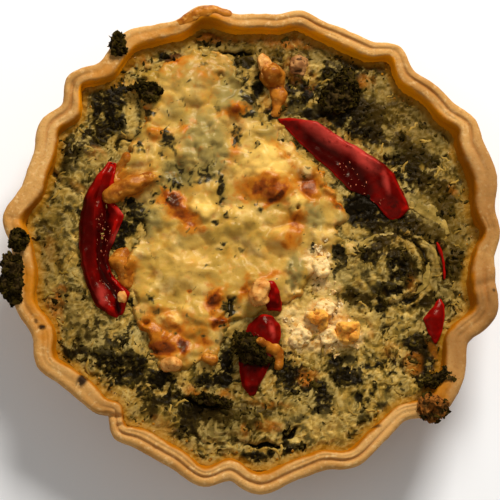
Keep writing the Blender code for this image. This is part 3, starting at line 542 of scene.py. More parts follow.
@dataclass(frozen=True)
class Crease:
    """A pressed line in the pastry, in millimetres."""

    start: tuple[float, float]
    end: tuple[float, float]
    width: float
    depth: float

    def weight(self, x: Array, y: Array) -> Array:
        """Depth of the crease, fading away from its line.

        Args:
            x: Places along X.
            y: Places along Y.

        Returns:
            The depth at each place.
        """
        first = np.array(self.start)
        run = np.array(self.end) - first
        share = ((x - first[0]) * run[0] + (y - first[1]) * run[1]) / (run @ run)
        share = np.clip(share, 0, 1)
        away = np.hypot(x - first[0] - share * run[0], y - first[1] - share * run[1])
        return self.depth * np.exp(-((away / self.width) ** 2))


PLEATS = (
    Crease((-48.5, -58.8), (-38.5, -59.8), 0.9, 1.6),
    Crease((-44.5, -62.2), (-38.0, -61.4), 0.7, 1.2),
    Crease((79.5, -12.0), (73.0, -14.5), 1.6, 0.9),
    Crease((-81.5, 6.0), (-76.0, 5.0), 1.2, 0.5),
    Crease((-13.0, -79.5), (-11.5, -74.0), 1.4, 0.6),
    Crease((46.5, 66.5), (44.5, 62.0), 1.4, 0.6),
    Crease((-62.0, 52.0), (-58.0, 47.0), 1.4, 0.6),
)


# ---- paint


@dataclass(frozen=True)
class Finish:
    """How a surface takes light, apart from its colour."""

    roughness: float
    specular: float
    subsurface: float = 0.0
    scatter_mm: tuple[float, float, float] = (1.0, 0.5, 0.25)


def add_node(tree: NodeTree, kind: str, given: dict, **settings: str) -> Node:
    """Adds a node to a tree.

    Args:
        tree: Tree of a material or of Geometry Nodes.
        kind: The node's type.
        given: What each input is linked to or set to.
        settings: The node's own settings.

    Returns:
        The node.
    """
    node = tree.nodes.new(kind)
    for name, value in settings.items():
        setattr(node, name, value)
    for key, value in given.items():
        if isinstance(value, Socket):
            tree.links.new(value, node.inputs[key])
        else:
            node.inputs[key].default_value = value
    return node


class Paint:
    """A material whose colours lie in layers over one another.

    A number may be given as an output, a constant or the name of a number kept on the mesh.
    A colour is an output or red, green and blue as a screen shows them.
    """

    NOISE_ROUGHNESS = 0.55
    SHINE_TINT = (1.0, 0.86, 0.62, 1.0)

    def __init__(self, name: str, finish: Finish, ground: Colour = (0, 0, 0)) -> None:
        """Starts a material.

        Args:
            name: Name of the material.
            finish: Gloss and softness of the surface.
            ground: The lowest colour.
        """
        self.material = bpy.data.materials.new(name)
        self.material.use_nodes = True
        self.tree = self.material.node_tree
        self.sockets = self.tree.nodes["Principled BSDF"].inputs
        self.place = self.tree.nodes.new("ShaderNodeTexCoord").outputs["Object"]
        for key, value in {
            "Roughness": finish.roughness, "Specular IOR Level": finish.specular,
            "Specular Tint": self.SHINE_TINT, "Subsurface Weight": finish.subsurface,
            "Subsurface Radius": [r * MM for r in finish.scatter_mm], "Subsurface Scale": 1.0,
        }.items():
            self.sockets[key].default_value = value
        self.colour(ground)

    def node(self, kind: str, given: dict, **settings: str) -> Node:
        """Adds a shader node whose inputs may be kept numbers and screen colours.

        Args:
            kind: The node's type.
            given: What each input is given.
            settings: The node's own settings.

        Returns:
            The node.
        """
        return add_node(self.tree, kind, {key: self.read(value) for key, value in given.items()}, **settings)

    def read(self, value: Input) -> Input:
        """Turns a kept number's name into an output and a screen colour into a linear one.

        Args:
            value: A name, a screen colour, an output or a number.

        Returns:
            What a node's input takes.
        """
        if isinstance(value, str):
            return self.node("ShaderNodeAttribute", {}, attribute_name=value).outputs["Fac"]
        return srgb(*value) if isinstance(value, tuple) else value

    def noise(self, size: float, detail: float) -> Socket:
        """Smooth noise over the object's own coordinates.

        Args:
            size: Width of the largest bumps in millimetres.
            detail: Number of finer layers.

        Returns:
            The noise output, about 0 to 1.
        """
        scaled = self.node("ShaderNodeMapping", {"Vector": self.place, "Scale": [1 / (size * MM)] * 3})
        return self.node("ShaderNodeTexNoise", {
            "Vector": scaled.outputs["Vector"], "Scale": 1.0, "Detail": detail,
            "Roughness": self.NOISE_ROUGHNESS,
        }).outputs["Fac"]

    def math(self, kind: str, first: Input, second: Input) -> Socket:
        """Combines two numbers with a named operation."""
        return self.node("ShaderNodeMath", {0: first, 1: second}, operation=kind).outputs[0]

    def plus(self, first: Input, second: Input) -> Socket:
        """Adds two numbers."""
        return self.math("ADD", first, second)

    def times(self, first: Input, *others: Input) -> Socket:
        """Multiplies numbers.

        Args:
            first: The first number.
            others: What it is multiplied by.

        Returns:
            The product.
        """
        for other in others:
            first = self.math("MULTIPLY", first, other)
        return first

    def step(self, value: Input, low: float, high: float) -> Socket:
        """Eases a number from 0 at low to 1 at high."""
        given = {"Value": value, "From Min": low, "From Max": high}
        return self.node("ShaderNodeMapRange", given, interpolation_type="SMOOTHSTEP").outputs["Result"]

    def spots(self, size: float, detail: float, low: float, high: float) -> Socket:
        """Cloudy spots: noise that is eased from 0 at low to 1 at high."""
        return self.step(self.noise(size, detail), low, high)

    def ragged(self, value: Input, size: float, amount: float, detail: float = 4) -> Socket:
        """A number made uneven by noise.

        Args:
            value: The number.
            size: Width of the noise's bumps in millimetres.
            amount: How much the noise adds between its lowest and its highest.
            detail: Number of finer layers.

        Returns:
            The uneven number.
        """
        wobble = self.math("SUBTRACT", self.noise(size, detail), 0.5)
        return self.plus(value, self.times(wobble, amount))

    def mix(self, share: Input, first: Colour, second: Colour) -> Socket:
        """Blends two colours by a share from 0 to 1."""
        return self.node("ShaderNodeMix", {0: share, 6: first, 7: second}, data_type="RGBA").outputs[2]

    def colour(self, body: Colour) -> None:
        """Sets the surface's colour, which later layers cover.

        Args:
            body: The colour.
        """
        self.body = body
        body = self.read(body)
        if isinstance(body, Socket):
            self.tree.links.new(body, self.sockets["Base Color"])
        else:
            self.sockets["Base Color"].default_value = body

    def layer(self, share: Input, tint: Colour, amount: float = 1.0) -> None:
        """Lays a colour over those below it.

        Args:
            share: Where it covers them, from 0 to 1.
            tint: The colour.
            amount: How much of it shows there.
        """
        self.colour(self.mix(share if amount == 1 else self.times(share, amount), self.body, tint))

    def ramp(self, value: Input, stops: Sequence[tuple]) -> None:
        """Colours the surface by a number.

        Args:
            value: The number.
            stops: Pairs of a number and its colour, in rising order.
        """
        low, high = stops[0][0], stops[-1][0]
        span = self.node("ShaderNodeMapRange", {"Value": value, "From Min": low, "From Max": high})
        node = self.node("ShaderNodeValToRGB", {"Fac": span.outputs["Result"]})
        places = node.color_ramp.elements
        while len(places) < len(stops):
            places.new(0.5)
        for place, (at, tint) in zip(places, stops):
            place.position = (at - low) / (high - low)
            place.color = srgb(*tint)
        self.colour(node.outputs["Color"])

    def gloss(self, least: float, value: Input, amount: float) -> None:
        """Sets the surface's roughness to a least one and an amount of a number."""
        rough = self.plus(self.times(value, amount), least)
        self.tree.links.new(rough, self.sockets["Roughness"])

    def bump(self, size: float, detail: float, depth_mm: float) -> Material:
        """Adds fine relief, the last touch.

        Args:
            size: Width of its largest bumps in millimetres.
            detail: Number of finer layers.
            depth_mm: Its height.

        Returns:
            The finished material.
        """
        given = {"Distance": depth_mm * MM, "Strength": 1.0, "Height": self.noise(size, detail)}
        self.tree.links.new(self.node("ShaderNodeBump", given).outputs["Normal"], self.sockets["Normal"])
        return self.material


# ---- meshes


def new_object(name: str, mesh: Mesh) -> Object:
    """Puts a mesh into the scene, at the origin and unturned.

    Args:
        name: Name of the object.
        mesh: The mesh it shows.

    Returns:
        The object.
    """
    item = bpy.data.objects.new(name, mesh)
    bpy.context.scene.collection.objects.link(item)
    return item


def mesh_of(name: str, points: Array, faces: Sequence, smooth: bool = True) -> Mesh:
    """Makes a mesh from points in millimetres.

    Args:
        name: Name of the mesh.
        points: An array (n, 3).
        faces: Rows of point numbers.
        smooth: Whether its shading is smooth.

    Returns:
        The mesh, in metres.
    """
    mesh = bpy.data.meshes.new(name)
    rows = [face.tolist() if isinstance(face, np.ndarray) else face for face in faces]
    mesh.from_pydata((points * MM).tolist(), [], rows)
    mesh.polygons.foreach_set("use_smooth", [smooth] * len(mesh.polygons))
    mesh.update()
    return mesh


def store(mesh: Mesh, name: str, values: Array) -> None:
    """Keeps a number at every point of a mesh."""
    kept = mesh.attributes.new(name, "FLOAT", "POINT")
    kept.data.foreach_set("value", np.ascontiguousarray(values, dtype=np.float32).ravel())


def points_of(mesh: Mesh) -> Array:
    """The mesh's points in millimetres.

    Args:
        mesh: The mesh.

    Returns:
        One row for each point.
    """
    flat = np.empty(len(mesh.vertices) * 3)
    mesh.vertices.foreach_get("co", flat)
    return flat.reshape(-1, 3) / MM


def normals_of(mesh: Mesh) -> Array:
    """The direction each point of a mesh faces.

    Args:
        mesh: The mesh.

    Returns:
        One row of length 1 for each point.
    """
    flat = np.empty(len(mesh.vertices) * 3)
    mesh.vertex_normals.foreach_get("vector", flat)
    return flat.reshape(-1, 3)


def move_points(mesh: Mesh, points: Array) -> None:
    """Gives a mesh new points, in millimetres."""
    mesh.vertices.foreach_set("co", (points * MM).ravel())
    mesh.update()


def baked(item: Object, name: str) -> Mesh:
    """Turns an object with its modifiers into a plain mesh and removes the object.

    Args:
        item: The object.
        name: Name of the new mesh.

    Returns:
        The plain mesh.
    """
    bpy.context.view_layer.update()
    mesh = bpy.data.meshes.new_from_object(item.evaluated_get(bpy.context.evaluated_depsgraph_get()))
    mesh.name = name
    bpy.data.objects.remove(item)
    return mesh


def blurred(grid: Array, known: Array, width: float) -> Array:
    """Softens a grid with a bell curve, leaving unknown cells out.

    Args:
        grid: A square array.
        known: Which cells count.
        width: Width of the bell curve in cells.

    Returns:
        The softened grid.
    """
    weights = bell_weights(width)

    def spread(values: Array) -> Array:
        """Runs the bell curve along both axes.

        Args:
            values: Numbers on the grid.

        Returns:
            The spread numbers.
        """
        for axis in (0, 1):
            values = np.apply_along_axis(np.convolve, axis, values, weights, mode="same")
        return values

    share = spread(known.astype(float))
    return spread(np.where(known, grid, 0.0)) / np.maximum(share, 1e-6)


def gaps_filled(grid: Array, known: Array, rounds: int = 500) -> Array:
    """Lets known heights flow into the unknown cells between them.

    Args:
        grid: A square array.
        known: Which cells are kept.
        rounds: How often the heights flow one cell on.

    Returns:
        The grid without gaps.
    """
    flowing = np.where(known, grid, float(grid[known].mean()))
    for _ in range(rounds):
        spread = sum(np.roll(flowing, shift, axis) for axis in (0, 1) for shift in (1, -1)) / 4
        flowing = np.where(known, grid, spread)
    return flowing


class PackedShapes:
    """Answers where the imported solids' surfaces lie."""

    ABOVE = 80 * MM
    WELD = 0.01 * MM

    def __init__(self, nodes: dict[str, Object]) -> None:
        """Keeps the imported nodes, which stay as they are."""
        self.nodes = nodes
        self.trees: dict[tuple[str, ...], BVHTree] = {}

    def welded(self, name: str) -> BMesh:
        """A copy of a node with its split corners joined again.

        Args:
            name: Name of the node.

        Returns:
            The copy, to be freed by the caller.
        """
        solid = bmesh.new()
        solid.from_mesh(self.nodes[name].data)
        bmesh.ops.remove_doubles(solid, verts=solid.verts, dist=self.WELD)
        return solid

    def tree(self, names: tuple[str, ...]) -> BVHTree:
        """A search tree over some nodes, made once.

        Args:
            names: Node names.

        Returns:
            The tree.
        """
        if names not in self.trees:
            joined = bmesh.new()
            for name in names:
                joined.from_mesh(self.nodes[name].data)
            self.trees[names] = BVHTree.FromBMesh(joined)
            joined.free()
        return self.trees[names]

    def drop(self, names: tuple[str, ...], x: Array, y: Array) -> Array:
        """Heights found by falling onto nodes from above.

        Args:
            names: Node names.
            x: Places along X in millimetres.
            y: Places along Y in millimetres.

        Returns:
            Heights in millimetres, or NaN where nothing is below.
        """
        tree = self.tree(names)
        down = Vector((0, 0, -1))
        heights = np.full(x.size, np.nan)
        for at, (px, py) in enumerate(zip(x.ravel() * MM, y.ravel() * MM)):
            spot = tree.ray_cast(Vector((px, py, self.ABOVE)), down)[0]
            if spot is not None:
                heights[at] = spot.z / MM
        return heights.reshape(x.shape)

    def rings(self, name: str, level: float) -> list[Array]:
        """Follows a lofted solid from ring to ring of its corners.

        Args:
            name: Node name.
            level: Height in millimetres of the flat ring that it starts from.

        Returns:
            One array (stations, 3) of corners in millimetres for each ring, all in step.
        """
        solid = self.welded(name)
        ring = {corner for corner in solid.verts if abs(corner.co.z / MM - level) < 0.01}
        seen: set = set()
        rings: list[Array] = []
        while ring:
            corners = np.array([corner.co[:] for corner in ring]) / MM
            corners = corners[np.argsort(np.arctan2(corners[:, 1], corners[:, 0]))]
            if rings:
                gaps = [np.abs(np.roll(corners, shift, 0) - rings[-1]).sum() for shift in (-2, -1, 0, 1, 2)]
                corners = np.roll(corners, int(np.argmin(gaps)) - 2, 0)
            rings.append(corners)
            seen |= ring
            ring = {edge.other_vert(corner) for corner in ring for edge in corner.link_edges} - seen
        solid.free()
        return rings


class RingCurve:
    """A smooth closed curve through rings of corners, in step for every ring."""

    def __init__(self, guide: Array, samples: int) -> None:
        """Prepares the curve.

        Args:
            guide: The ring whose spacing all rings follow.
            samples: Number of points wanted round the ring.
        """
        steps = np.linalg.norm(np.roll(guide, -1, 0) - guide, axis=1)
        self.steps = steps
        count = len(guide)
        matrix = np.zeros((count, count))
        for at in range(count):
            before, after = steps[at - 1], steps[at]
            matrix[at, at - 1] += before
            matrix[at, at] += 2 * (before + after)
            matrix[at, (at + 1) % count] += after
        self.solver = np.linalg.inv(matrix)
        ends = np.cumsum(steps)
        where = np.linspace(0, ends[-1], samples, endpoint=False)
        self.span = np.minimum(np.searchsorted(ends, where, side="right"), count - 1)
        self.into = where - (ends - steps)[self.span]

    def through(self, ring: Array) -> Array:
        """Runs the curve through a ring.

        Args:
            ring: An array (stations, k).

        Returns:
            An array (samples, k).
        """
        steps = self.steps[:, None]
        slope = (np.roll(ring, -1, 0) - ring) / steps
        bend = self.solver @ (6 * (slope - np.roll(slope, 1, 0)))
        span, into = self.span, self.into[:, None]
        wide = self.steps[span][:, None]
        ahead = (span + 1) % len(ring)
        left = wide - into
        return (
            (bend[span] * left**3 + bend[ahead] * into**3) / (6 * wide)
            + (ring[span] / wide - bend[span] * wide / 6) * left
            + (ring[ahead] / wide - bend[ahead] * wide / 6) * into
        )


def softened_ring(values: Array, width: float) -> Array:
    """Softens numbers that run round a ring.

    Args:
        values: One number per spoke.
        width: Width of the bell curve in spokes.

    Returns:
        The softened numbers.
    """
    weights = bell_weights(width)
    reach = len(weights) // 2
    wrapped = np.concatenate((values[-reach:], values, values[:reach]))
    return np.convolve(wrapped, weights, mode="valid")


def flowing_line(stations: Array, count: int) -> Array:
    """Resamples a line through stations as a smooth curve.

    Args:
        stations: An array (n, k).
        count: Number of points wanted.

    Returns:
        An array (count, k).
    """
    padded = np.vstack((2 * stations[0] - stations[1], stations, 2 * stations[-1] - stations[-2]))
    at = np.linspace(0, len(stations) - 1, count)
    first = np.minimum(at.astype(int), len(stations) - 2)
    share = (at - first)[:, None]
    a, b, c, d = (padded[first + step] for step in range(4))
    return 0.5 * (
        2 * b + (c - a) * share + (2 * a - 5 * b + 4 * c - d) * share**2 + (3 * b - a - 3 * c + d) * share**3
    )


# ---- pastry case


@dataclass(frozen=True)
class CaseSizes:
    """Sizes of the case in millimetres.

    Places across the rim are 1 at its outer and -1 at its inner edge. Past them, each row
    keeps the place of the surface that it belongs to.
    """

    spokes: int = 960
    rim_rows: int = 44
    outside_rows: int = 22
    floor_level: float = 4.0
    outer_edge: float = 1.12
    underside: float = 3.0
    heel: float = 2.8
    outside: float = 2.4
    inner_wall: float = -1.2
    floor: float = -3.0
    wall_top: float = 3.7
    custard_share: float = 0.11
    groove_at: float = 0.16
    groove_width: float = 0.17
    groove_depth: float = 0.62
    groove_gap: float = 0.5
    second_groove_width: float = 0.14
    second_groove_depth: float = 0.25
    faint_groove: float = 0.18
    groove_degrees: tuple[tuple[int, int], ...] = ((22, 52), (58, 84), (138, 156), (232, 302), (345, 352))
    rim_limit: float = 1.3
    rough_limit: float = 2.75
    broad_roughness: float = 0.34
    fine_roughness: float = 0.12
    flake_depth: float = 0.4


class PastryCase:
    """The fluted pastry case with its two-ridged rim."""

    SIZES = CaseSizes()

    RIM_PROFILE = (
        (1.06, -3.6), (1.12, -2.4), (1.08, -1.4), (0.95, -0.66), (0.74, -0.24), (0.50, -0.12),
        (0.28, -0.16), (0.05, -0.08), (-0.20, 0.02), (-0.45, 0.04), (-0.64, -0.16),
        (-0.81, -0.76), (-0.93, -1.8), (-0.99, -3.2),
    )

    def __init__(self, shapes: PackedShapes) -> None:
        """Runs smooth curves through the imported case's rings of corners.

        Args:
            shapes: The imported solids.
        """
        self.grain = Grain(11)
        rings = shapes.rings("pastry_case", self.SIZES.floor_level)
        floor, foot, inner, _, crest, _, _, outer, belly, heel, base = rings
        curve = RingCurve(crest, self.SIZES.spokes)
        self.floor, self.foot, self.inner, self.outer, self.belly, self.heel, self.base = (
            curve.through(ring) for ring in (floor, foot, inner, outer, belly, heel, base)
        )
        self.half = (self.outer - self.inner)[:, :2] / (1 + self.SIZES.outer_edge)
        self.middle = self.inner[:, :2] + self.half
        self.top = curve.through(crest)[:, 2]
        self.degrees = np.degrees(np.arctan2(self.middle[:, 1], self.middle[:, 0])) % 360

    def inner_radius(self, x: Array, y: Array) -> Array:
        """Radius of the inner wall near the custard's level, in the direction of each place.

        Args:
            x: Places along X in millimetres.
            y: Places along Y in millimetres.

        Returns:
            The radius in millimetres.
        """
        wall = self.inner + (self.foot - self.inner) * self.SIZES.custard_share
        angles = np.arctan2(wall[:, 1], wall[:, 0])
        order = np.argsort(angles)
        radii = np.hypot(wall[:, 0], wall[:, 1])
        return np.interp(np.arctan2(y, x), angles[order], radii[order], period=2 * math.pi)

    def groove_share(self) -> Array:
        """How deep the rim's groove is along each spoke, 0 to 1.

        Returns:
            One share for each spoke.
        """
        share = np.full(self.SIZES.spokes, self.SIZES.faint_groove)
        for low, high in self.SIZES.groove_degrees:
            share[(self.degrees > low) & (self.degrees < high)] = 1.0
        along = np.column_stack((self.middle, np.zeros(self.SIZES.spokes)))
        wander = self.grain.fractal(along, 14.0, 2)
        return np.clip(softened_ring(share, 9.0) + 0.3 * wander, 0.05, 1.2)

    def rows(self) -> tuple[Array, Array]:
        """Points of every row, from the outer bottom over the rim to the floor.

        Returns:
            An array (rows, spokes, 3) and each row's place across the rim.
        """
        size = self.SIZES
        rows: list[Array] = []
        across: list[float] = []

        def add(points: Array, place: float) -> None:
            """Adds one row."""
            rows.append(points)
            across.append(place)

        for share in (0.4, 0.75, 0.94):
            add(self.base * share, size.underside)
        for share in (0.0, 0.35, 0.65, 0.88):
            flat = self.base[:, :2] + (self.heel - self.base)[:, :2] * share
            add(np.column_stack((flat, self.heel[:, 2] * share**2)), size.heel)
        for share in np.linspace(0, 1, size.outside_rows + 1)[:-1]:
            low = (1 - share) * self.heel + share * self.belly
            high = (1 - share) * self.belly + share * self.outer
            add((1 - share) * low + share * high, size.outside - share)
        for place, fall in flowing_line(np.array(self.RIM_PROFILE), size.rim_rows):
            add(np.column_stack((self.middle + place * self.half, self.top + fall)), place)
        for share in (0.0, 0.02, 0.04, 0.06, 0.08, 0.10, 0.13, 0.18, 0.3, 0.6, 1.0):
            wall = self.inner + (self.foot - self.inner) * share
            level = np.minimum(wall[:, 2], self.top - size.wall_top - share)
            add(np.column_stack((wall[:, :2], level)), size.inner_wall)
        for share in (1.0, 0.6, 0.3):
            add(self.floor * (share, share, 1), size.floor)
        return np.array(rows), np.array(across)

    def shaped(self, across: Array, points: Array) -> Array:
        """Adds groove, pleats and baked unevenness to the smooth case.

        Args:
            across: Each row's place across the rim.
            points: An array (rows, spokes, 3).

        Returns:
            The moved points.
        """
        size = self.SIZES
        moved = points.copy()
        on_rim = (np.abs(across) < size.rim_limit)[:, None]
        middle = size.groove_at + 0.1 * self.grain.fractal(points, 12.0, 2)
        line = bell(across[:, None], middle, size.groove_width)
        self.groove = line * self.groove_share() * on_rim
        second = bell(across[:, None], middle - size.groove_gap, size.second_groove_width)
        second = second * smoothstep(self.grain.fractal(points + 70, 18.0, 2) * 3) * on_rim
        moved[..., 2] -= size.groove_depth * self.groove + size.second_groove_depth * second
        x, y = points[..., 0], points[..., 1]
        for pleat in PLEATS:
            moved[..., 2] -= pleat.weight(x, y) * on_rim
        along_u = np.gradient(moved, axis=0)
        along_v = (np.roll(moved, -1, 1) - np.roll(moved, 1, 1)) / 2
        facing = np.cross(along_v, along_u)
        facing /= np.maximum(np.linalg.norm(facing, axis=-1, keepdims=True), 1e-9)
        rough = size.broad_roughness * self.grain.fractal(points, 10.0, 3)
        rough += size.fine_roughness * self.grain.fractal(points, 2.4, 3)
        flake = np.maximum(self.grain.fractal(points + 40, 5.0, 3) - 0.25, 0) * size.flake_depth
        visible = (np.abs(across) < size.rough_limit)[:, None]
        amount = np.where(on_rim, 0.7, 1.0) * (rough - flake) * visible
        return moved + facing * amount[..., None]

    def build(self, material: Material) -> Object:
        """Makes the case as one closed mesh.

        Args:
            material: The pastry's material.

        Returns:
            The object.
        """
        points, across = self.rows()
        points = self.shaped(across, points)
        count = len(across)
        number = np.arange(count * self.SIZES.spokes).reshape(count, self.SIZES.spokes)
        ahead = np.roll(number, -1, 1)
        sides = np.stack((number[:-1], ahead[:-1], ahead[1:], number[1:]), -1).reshape(-1, 4)
        under, floor = number.size, number.size + 1
        ends = [(b, a, under) for a, b in zip(number[0].tolist(), ahead[0].tolist())]
        ends += [(a, b, floor) for a, b in zip(number[-1].tolist(), ahead[-1].tolist())]
        closed = np.vstack((points.reshape(-1, 3), ((0, 0, 0), (0, 0, self.SIZES.floor_level))))
        mesh = mesh_of("pastry_case_baked", closed, [*sides.tolist(), *ends])
        self.mark(mesh, across, points)
        mesh.materials.append(material)
        return new_object("pastry_case_baked", mesh)

    def mark(self, mesh: Mesh, across: Array, points: Array) -> None:
        """Keeps where the case is grooved, oily, scorched and spilled over, where its rim takes painted shade
        and where its inner wall takes painted light.

        Args:
            mesh: The case.
            across: Each row's place across the rim.
            points: The points of all rows.
        """
        x, y = points[..., 0], points[..., 1]
        u = np.broadcast_to(across[:, None], x.shape)
        wander = 0.22 * self.grain.fractal(points, 6.0, 3)
        marks = {
            "groove": self.groove,
            "amber": smoothstep((-0.55 - u + wander) / 0.35) * (u > -2),
            "scorch": cover(RIM_SCORCHES, x, y, 0.4),
            "spill": cover(RIM_SPILLS, x, y, 0.6) * smoothstep((0.75 - u + 2.5 * wander) / 0.8),
            "outside": smoothstep((u - 0.95) / 0.3),
            # painted shade on the rim, mostly on its right side
            "dusky": cover(RIM_PAINTED_SHADE, x, y, 0.6),
            # painted light: the back, where the material paints the inner wall a brighter amber
            "shaded": smoothstep((y - 30) / 30),
        }
        for name, values in marks.items():
            store(mesh, name, np.append(values.ravel(), (0.0, 0.0)))

    @staticmethod
    def material() -> Material:
        """Baked shortcrust: fawn ridges, painted shade in the grooves and on the rim's right side, and an
        amber inner wall painted brighter at the back as painted light.

        Returns:
            The material.
        """
        paint = Paint("baked_pastry", Finish(0.62, 0.1, 0.1, (1.6, 0.7, 0.3)), (205, 155, 88))
        paint.layer(paint.spots(16, 4, 0.35, 0.68), (184, 130, 64))
        paint.layer(paint.spots(1.6, 4, 0.5, 0.78), (222, 180, 118))
        paint.layer(paint.spots(0.7, 3, 0.55, 0.75), (176, 122, 62))
        # painted shade: the rim is darker where it is marked, mostly on the right
        paint.layer("dusky", (138, 90, 42), 0.75)
        # painted shade: the rim's groove is darkened
        paint.layer("groove", (150, 88, 30), 0.5)
        paint.layer("outside", (170, 114, 50), 0.35)
        # painted light: the amber inner wall is painted brighter at the back, which faces away from the
        # window lamp
        paint.layer("amber", paint.mix("shaded", (172, 98, 4), (255, 158, 4)))
        paint.layer("spill", (186, 112, 10))
        paint.layer(paint.times("scorch", paint.spots(2.2, 3, 0.28, 0.5)), (44, 26, 12))
        paint.gloss(0.64, paint.math("MAXIMUM", "amber", "spill"), -0.28)
        return paint.bump(0.9, 5, 0.12)


# ---- custard and cheese


@dataclass
class Field:
    """A square grid over the quiche with everything known about its top."""

    x: Array
    y: Array
    base: Array
    wall: Array
    cheese: Array
    cheese_cover: Array
    leaf: Array
    top: Array

    @property
    def flat(self) -> Array:
        """The grid's places as (..., 3) points at height zero."""
        return np.stack((self.x, self.y, np.zeros_like(self.x)), -1)


@dataclass(frozen=True)
class ReliefSizes:
    """Sizes of the shared grid in millimetres."""

    step: float = 0.46
    reach: float = 76.0
    wall_overlap: float = 1.2
    aside: float = 90.0


@dataclass(frozen=True)
class RollSizes:
    """A round roll of leaves in the custard, in millimetres: its middle, and radii of its rings."""

    x: float = 45.0
    y: float = -8.0
    squeeze: float = 1.05
    roll: float = 11.6
    groove: float = 11.9
    outer_band: float = 13.6
    inner_band: float = 9.6
    left_band: float = 11.0


class Relief:
    """Works out the custard's and the cheese's surfaces on a shared grid."""

    SIZES = ReliefSizes()
    ROLL = RollSizes()
    TOPPINGS = ("pepper", "onion", "feta", "lump", "mushroom", "spinach", "char")

    def __init__(self, shapes: PackedShapes, case: PastryCase) -> None:
        """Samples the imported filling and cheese.

        Args:
            shapes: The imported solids.
            case: The pastry case.
        """
        self.shapes = shapes
        self.coarse = Grain(23)
        self.fine = Grain(37)
        size = self.SIZES
        line = np.arange(-size.reach, size.reach + size.step, size.step)
        x, y = np.meshgrid(line, line)
        radius = np.hypot(x, y)
        wall = case.inner_radius(x, y) - radius
        inside = wall > -size.wall_overlap - 2 * size.step
        near = np.where(inside, x, 0), np.where(inside, y, 0)
        filling = shapes.drop(("filling",), *near)
        cheese = shapes.drop(("melted_cheese",), *near)
        buried = self.under_toppings(x, y, inside)
        on_cheese = ~np.isnan(cheese) & inside
        known = inside & ~np.isnan(filling) & ~buried & ~on_cheese & (wall > 1.0)
        self.everywhere = np.ones_like(inside)
        base = blurred(gaps_filled(np.nan_to_num(filling), known), self.everywhere, 3.0)
        blanket = gaps_filled(np.nan_to_num(cheese), on_cheese & ~buried, 200)
        blanket = blurred(blanket, self.everywhere, 4.0)
        self.field = Field(x, y, base, wall, blanket, self.edge_distance(on_cheese), x * 0, x * 0)

    def ground(self, x: Array, y: Array) -> Array:
        """Height of whatever lies on top at each place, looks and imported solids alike.

        Args:
            x: Places along X in millimetres.
            y: Places along Y in millimetres.

        Returns:
            Heights in millimetres.
        """
        last = len(self.field.x) - 1
        reach, step = self.SIZES.reach, self.SIZES.step
        column, row = (np.clip(((along + reach) / step).astype(int), 0, last) for along in (x, y))
        soft = np.where(self.field.wall[row, column] > 0, self.field.top[row, column], 0)
        return np.maximum(soft, np.nan_to_num(self.shapes.drop(tuple(sorted(self.shapes.nodes)), x, y)))

    def under_toppings(self, x: Array, y: Array, inside: Array) -> Array:
        """Marks the cells that a packed topping covers, with a margin.

        Args:
            x: Places along X in millimetres.
            y: Places along Y in millimetres.
            inside: Which cells lie inside the case.

        Returns:
            The marked cells.
        """
        nodes = sorted(self.shapes.nodes)
        names = tuple(node for node in nodes if any(kind in node for kind in self.TOPPINGS))
        x, y = (np.where(inside, along, self.SIZES.aside) for along in (x, y))
        hit = ~np.isnan(self.shapes.drop(names, x, y))
        return blurred(hit.astype(float), np.ones_like(inside), 2.0) > 0.08

    def edge_distance(self, area: Array) -> Array:
        """Distance to the border of an area in millimetres, positive inside it."""
        soft = blurred(area.astype(float), np.ones_like(area), 4.0 / self.SIZES.step)
        return (soft - 0.5) * 2 * 6.0

    def swirled(self, size: float, reach: float) -> Array:
        """The grid's places, pushed about so that patterns over them run in curves.

        Args:
            size: Width of the swirls.
            reach: How far places are pushed.

        Returns:
            An array (..., 3).
        """
        flat = self.field.flat
        push = [self.coarse.fractal(flat + shift, size, 2) for shift in (60, -90)]
        return flat + reach * np.stack((*push, flat[..., 2]), -1)

    def leaf_roll(self, x: Array, y: Array) -> tuple[Array, Array, Array]:
        """A round roll of leaves set into the custard.

        Args:
            x: Places along X.
            y: Places along Y.

        Returns:
            The height it adds, its dark groove (painted near black as shade) and the pale bands beside it.
        """
        size = self.ROLL
        dx, dy = (x - size.x) / size.squeeze, y - size.y
        away = np.hypot(dx, dy)
        inside = smoothstep((size.roll - away) / 1.6)
        coil = np.sin(away * 1.5 + 1.2 * np.arctan2(dy, dx))
        rising = smoothstep((dx + 1) / 7)
        groove = bell(away, size.groove, 0.6) * (0.35 + 0.45 * rising)
        band = bell(away, size.outer_band, 0.9) * rising + 0.8 * bell(away, size.inner_band, 0.8) * rising
        left = bell(away, size.left_band, 1.0) * (1 - rising)
        height = inside * (0.7 + 0.35 * coil) + 0.7 * band + 0.4 * left - 0.9 * groove
        return height, groove, np.clip(band + 0.7 * left, 0, 1)

    def feta_bed(self, x: Array, y: Array) -> tuple[Array, Array]:
        """Where crumbled feta has sunk in, and the height it adds there.

        Args:
            x: Places along x in millimetres.
            y: Places along y in millimetres.

        Returns:
            Cover from 0 to 1, and height in millimetres.
        """
        feta = cover(FETA_BED, x, y, 0.6)
        grit, _ = self.fine.cells(self.swirled(4.0, 1.0)[..., :2] + 90, 2.6)
        crumbs = 0.45 * bead(grit, 0.8) + 0.6 * self.fine.fractal(self.field.flat + 8, 2.6, 3)
        return feta, feta * (0.9 + crumbs)

    def leaf_field(self) -> Array:
        """How leafy the custard is: well below zero where plain, above zero where leaves show.

        Returns:
            One number for each cell.
        """
        field = self.field
        ragged = 0.46 * self.fine.fractal(self.swirled(9.0, 5.0), 5.0, 3, 0.55)
        ragged += 0.5 * self.fine.fractal(self.swirled(4.0, 2.4) + 40, 2.1, 3, 0.65)
        busy = smoothstep(0.5 + 1.7 * self.coarse.fractal(self.swirled(14.0, 4.0) + 400, 13.0, 2))
        ragged *= 0.5 + 0.72 * busy
        share = cover(SPINACH, field.x, field.y, 0.55)
        share = 0.30 + 0.74 * share - 0.25 * cover(CUSTARD_PALE, field.x, field.y, 0.5)
        return 1.5 * ragged + 1.2 * share - 0.62

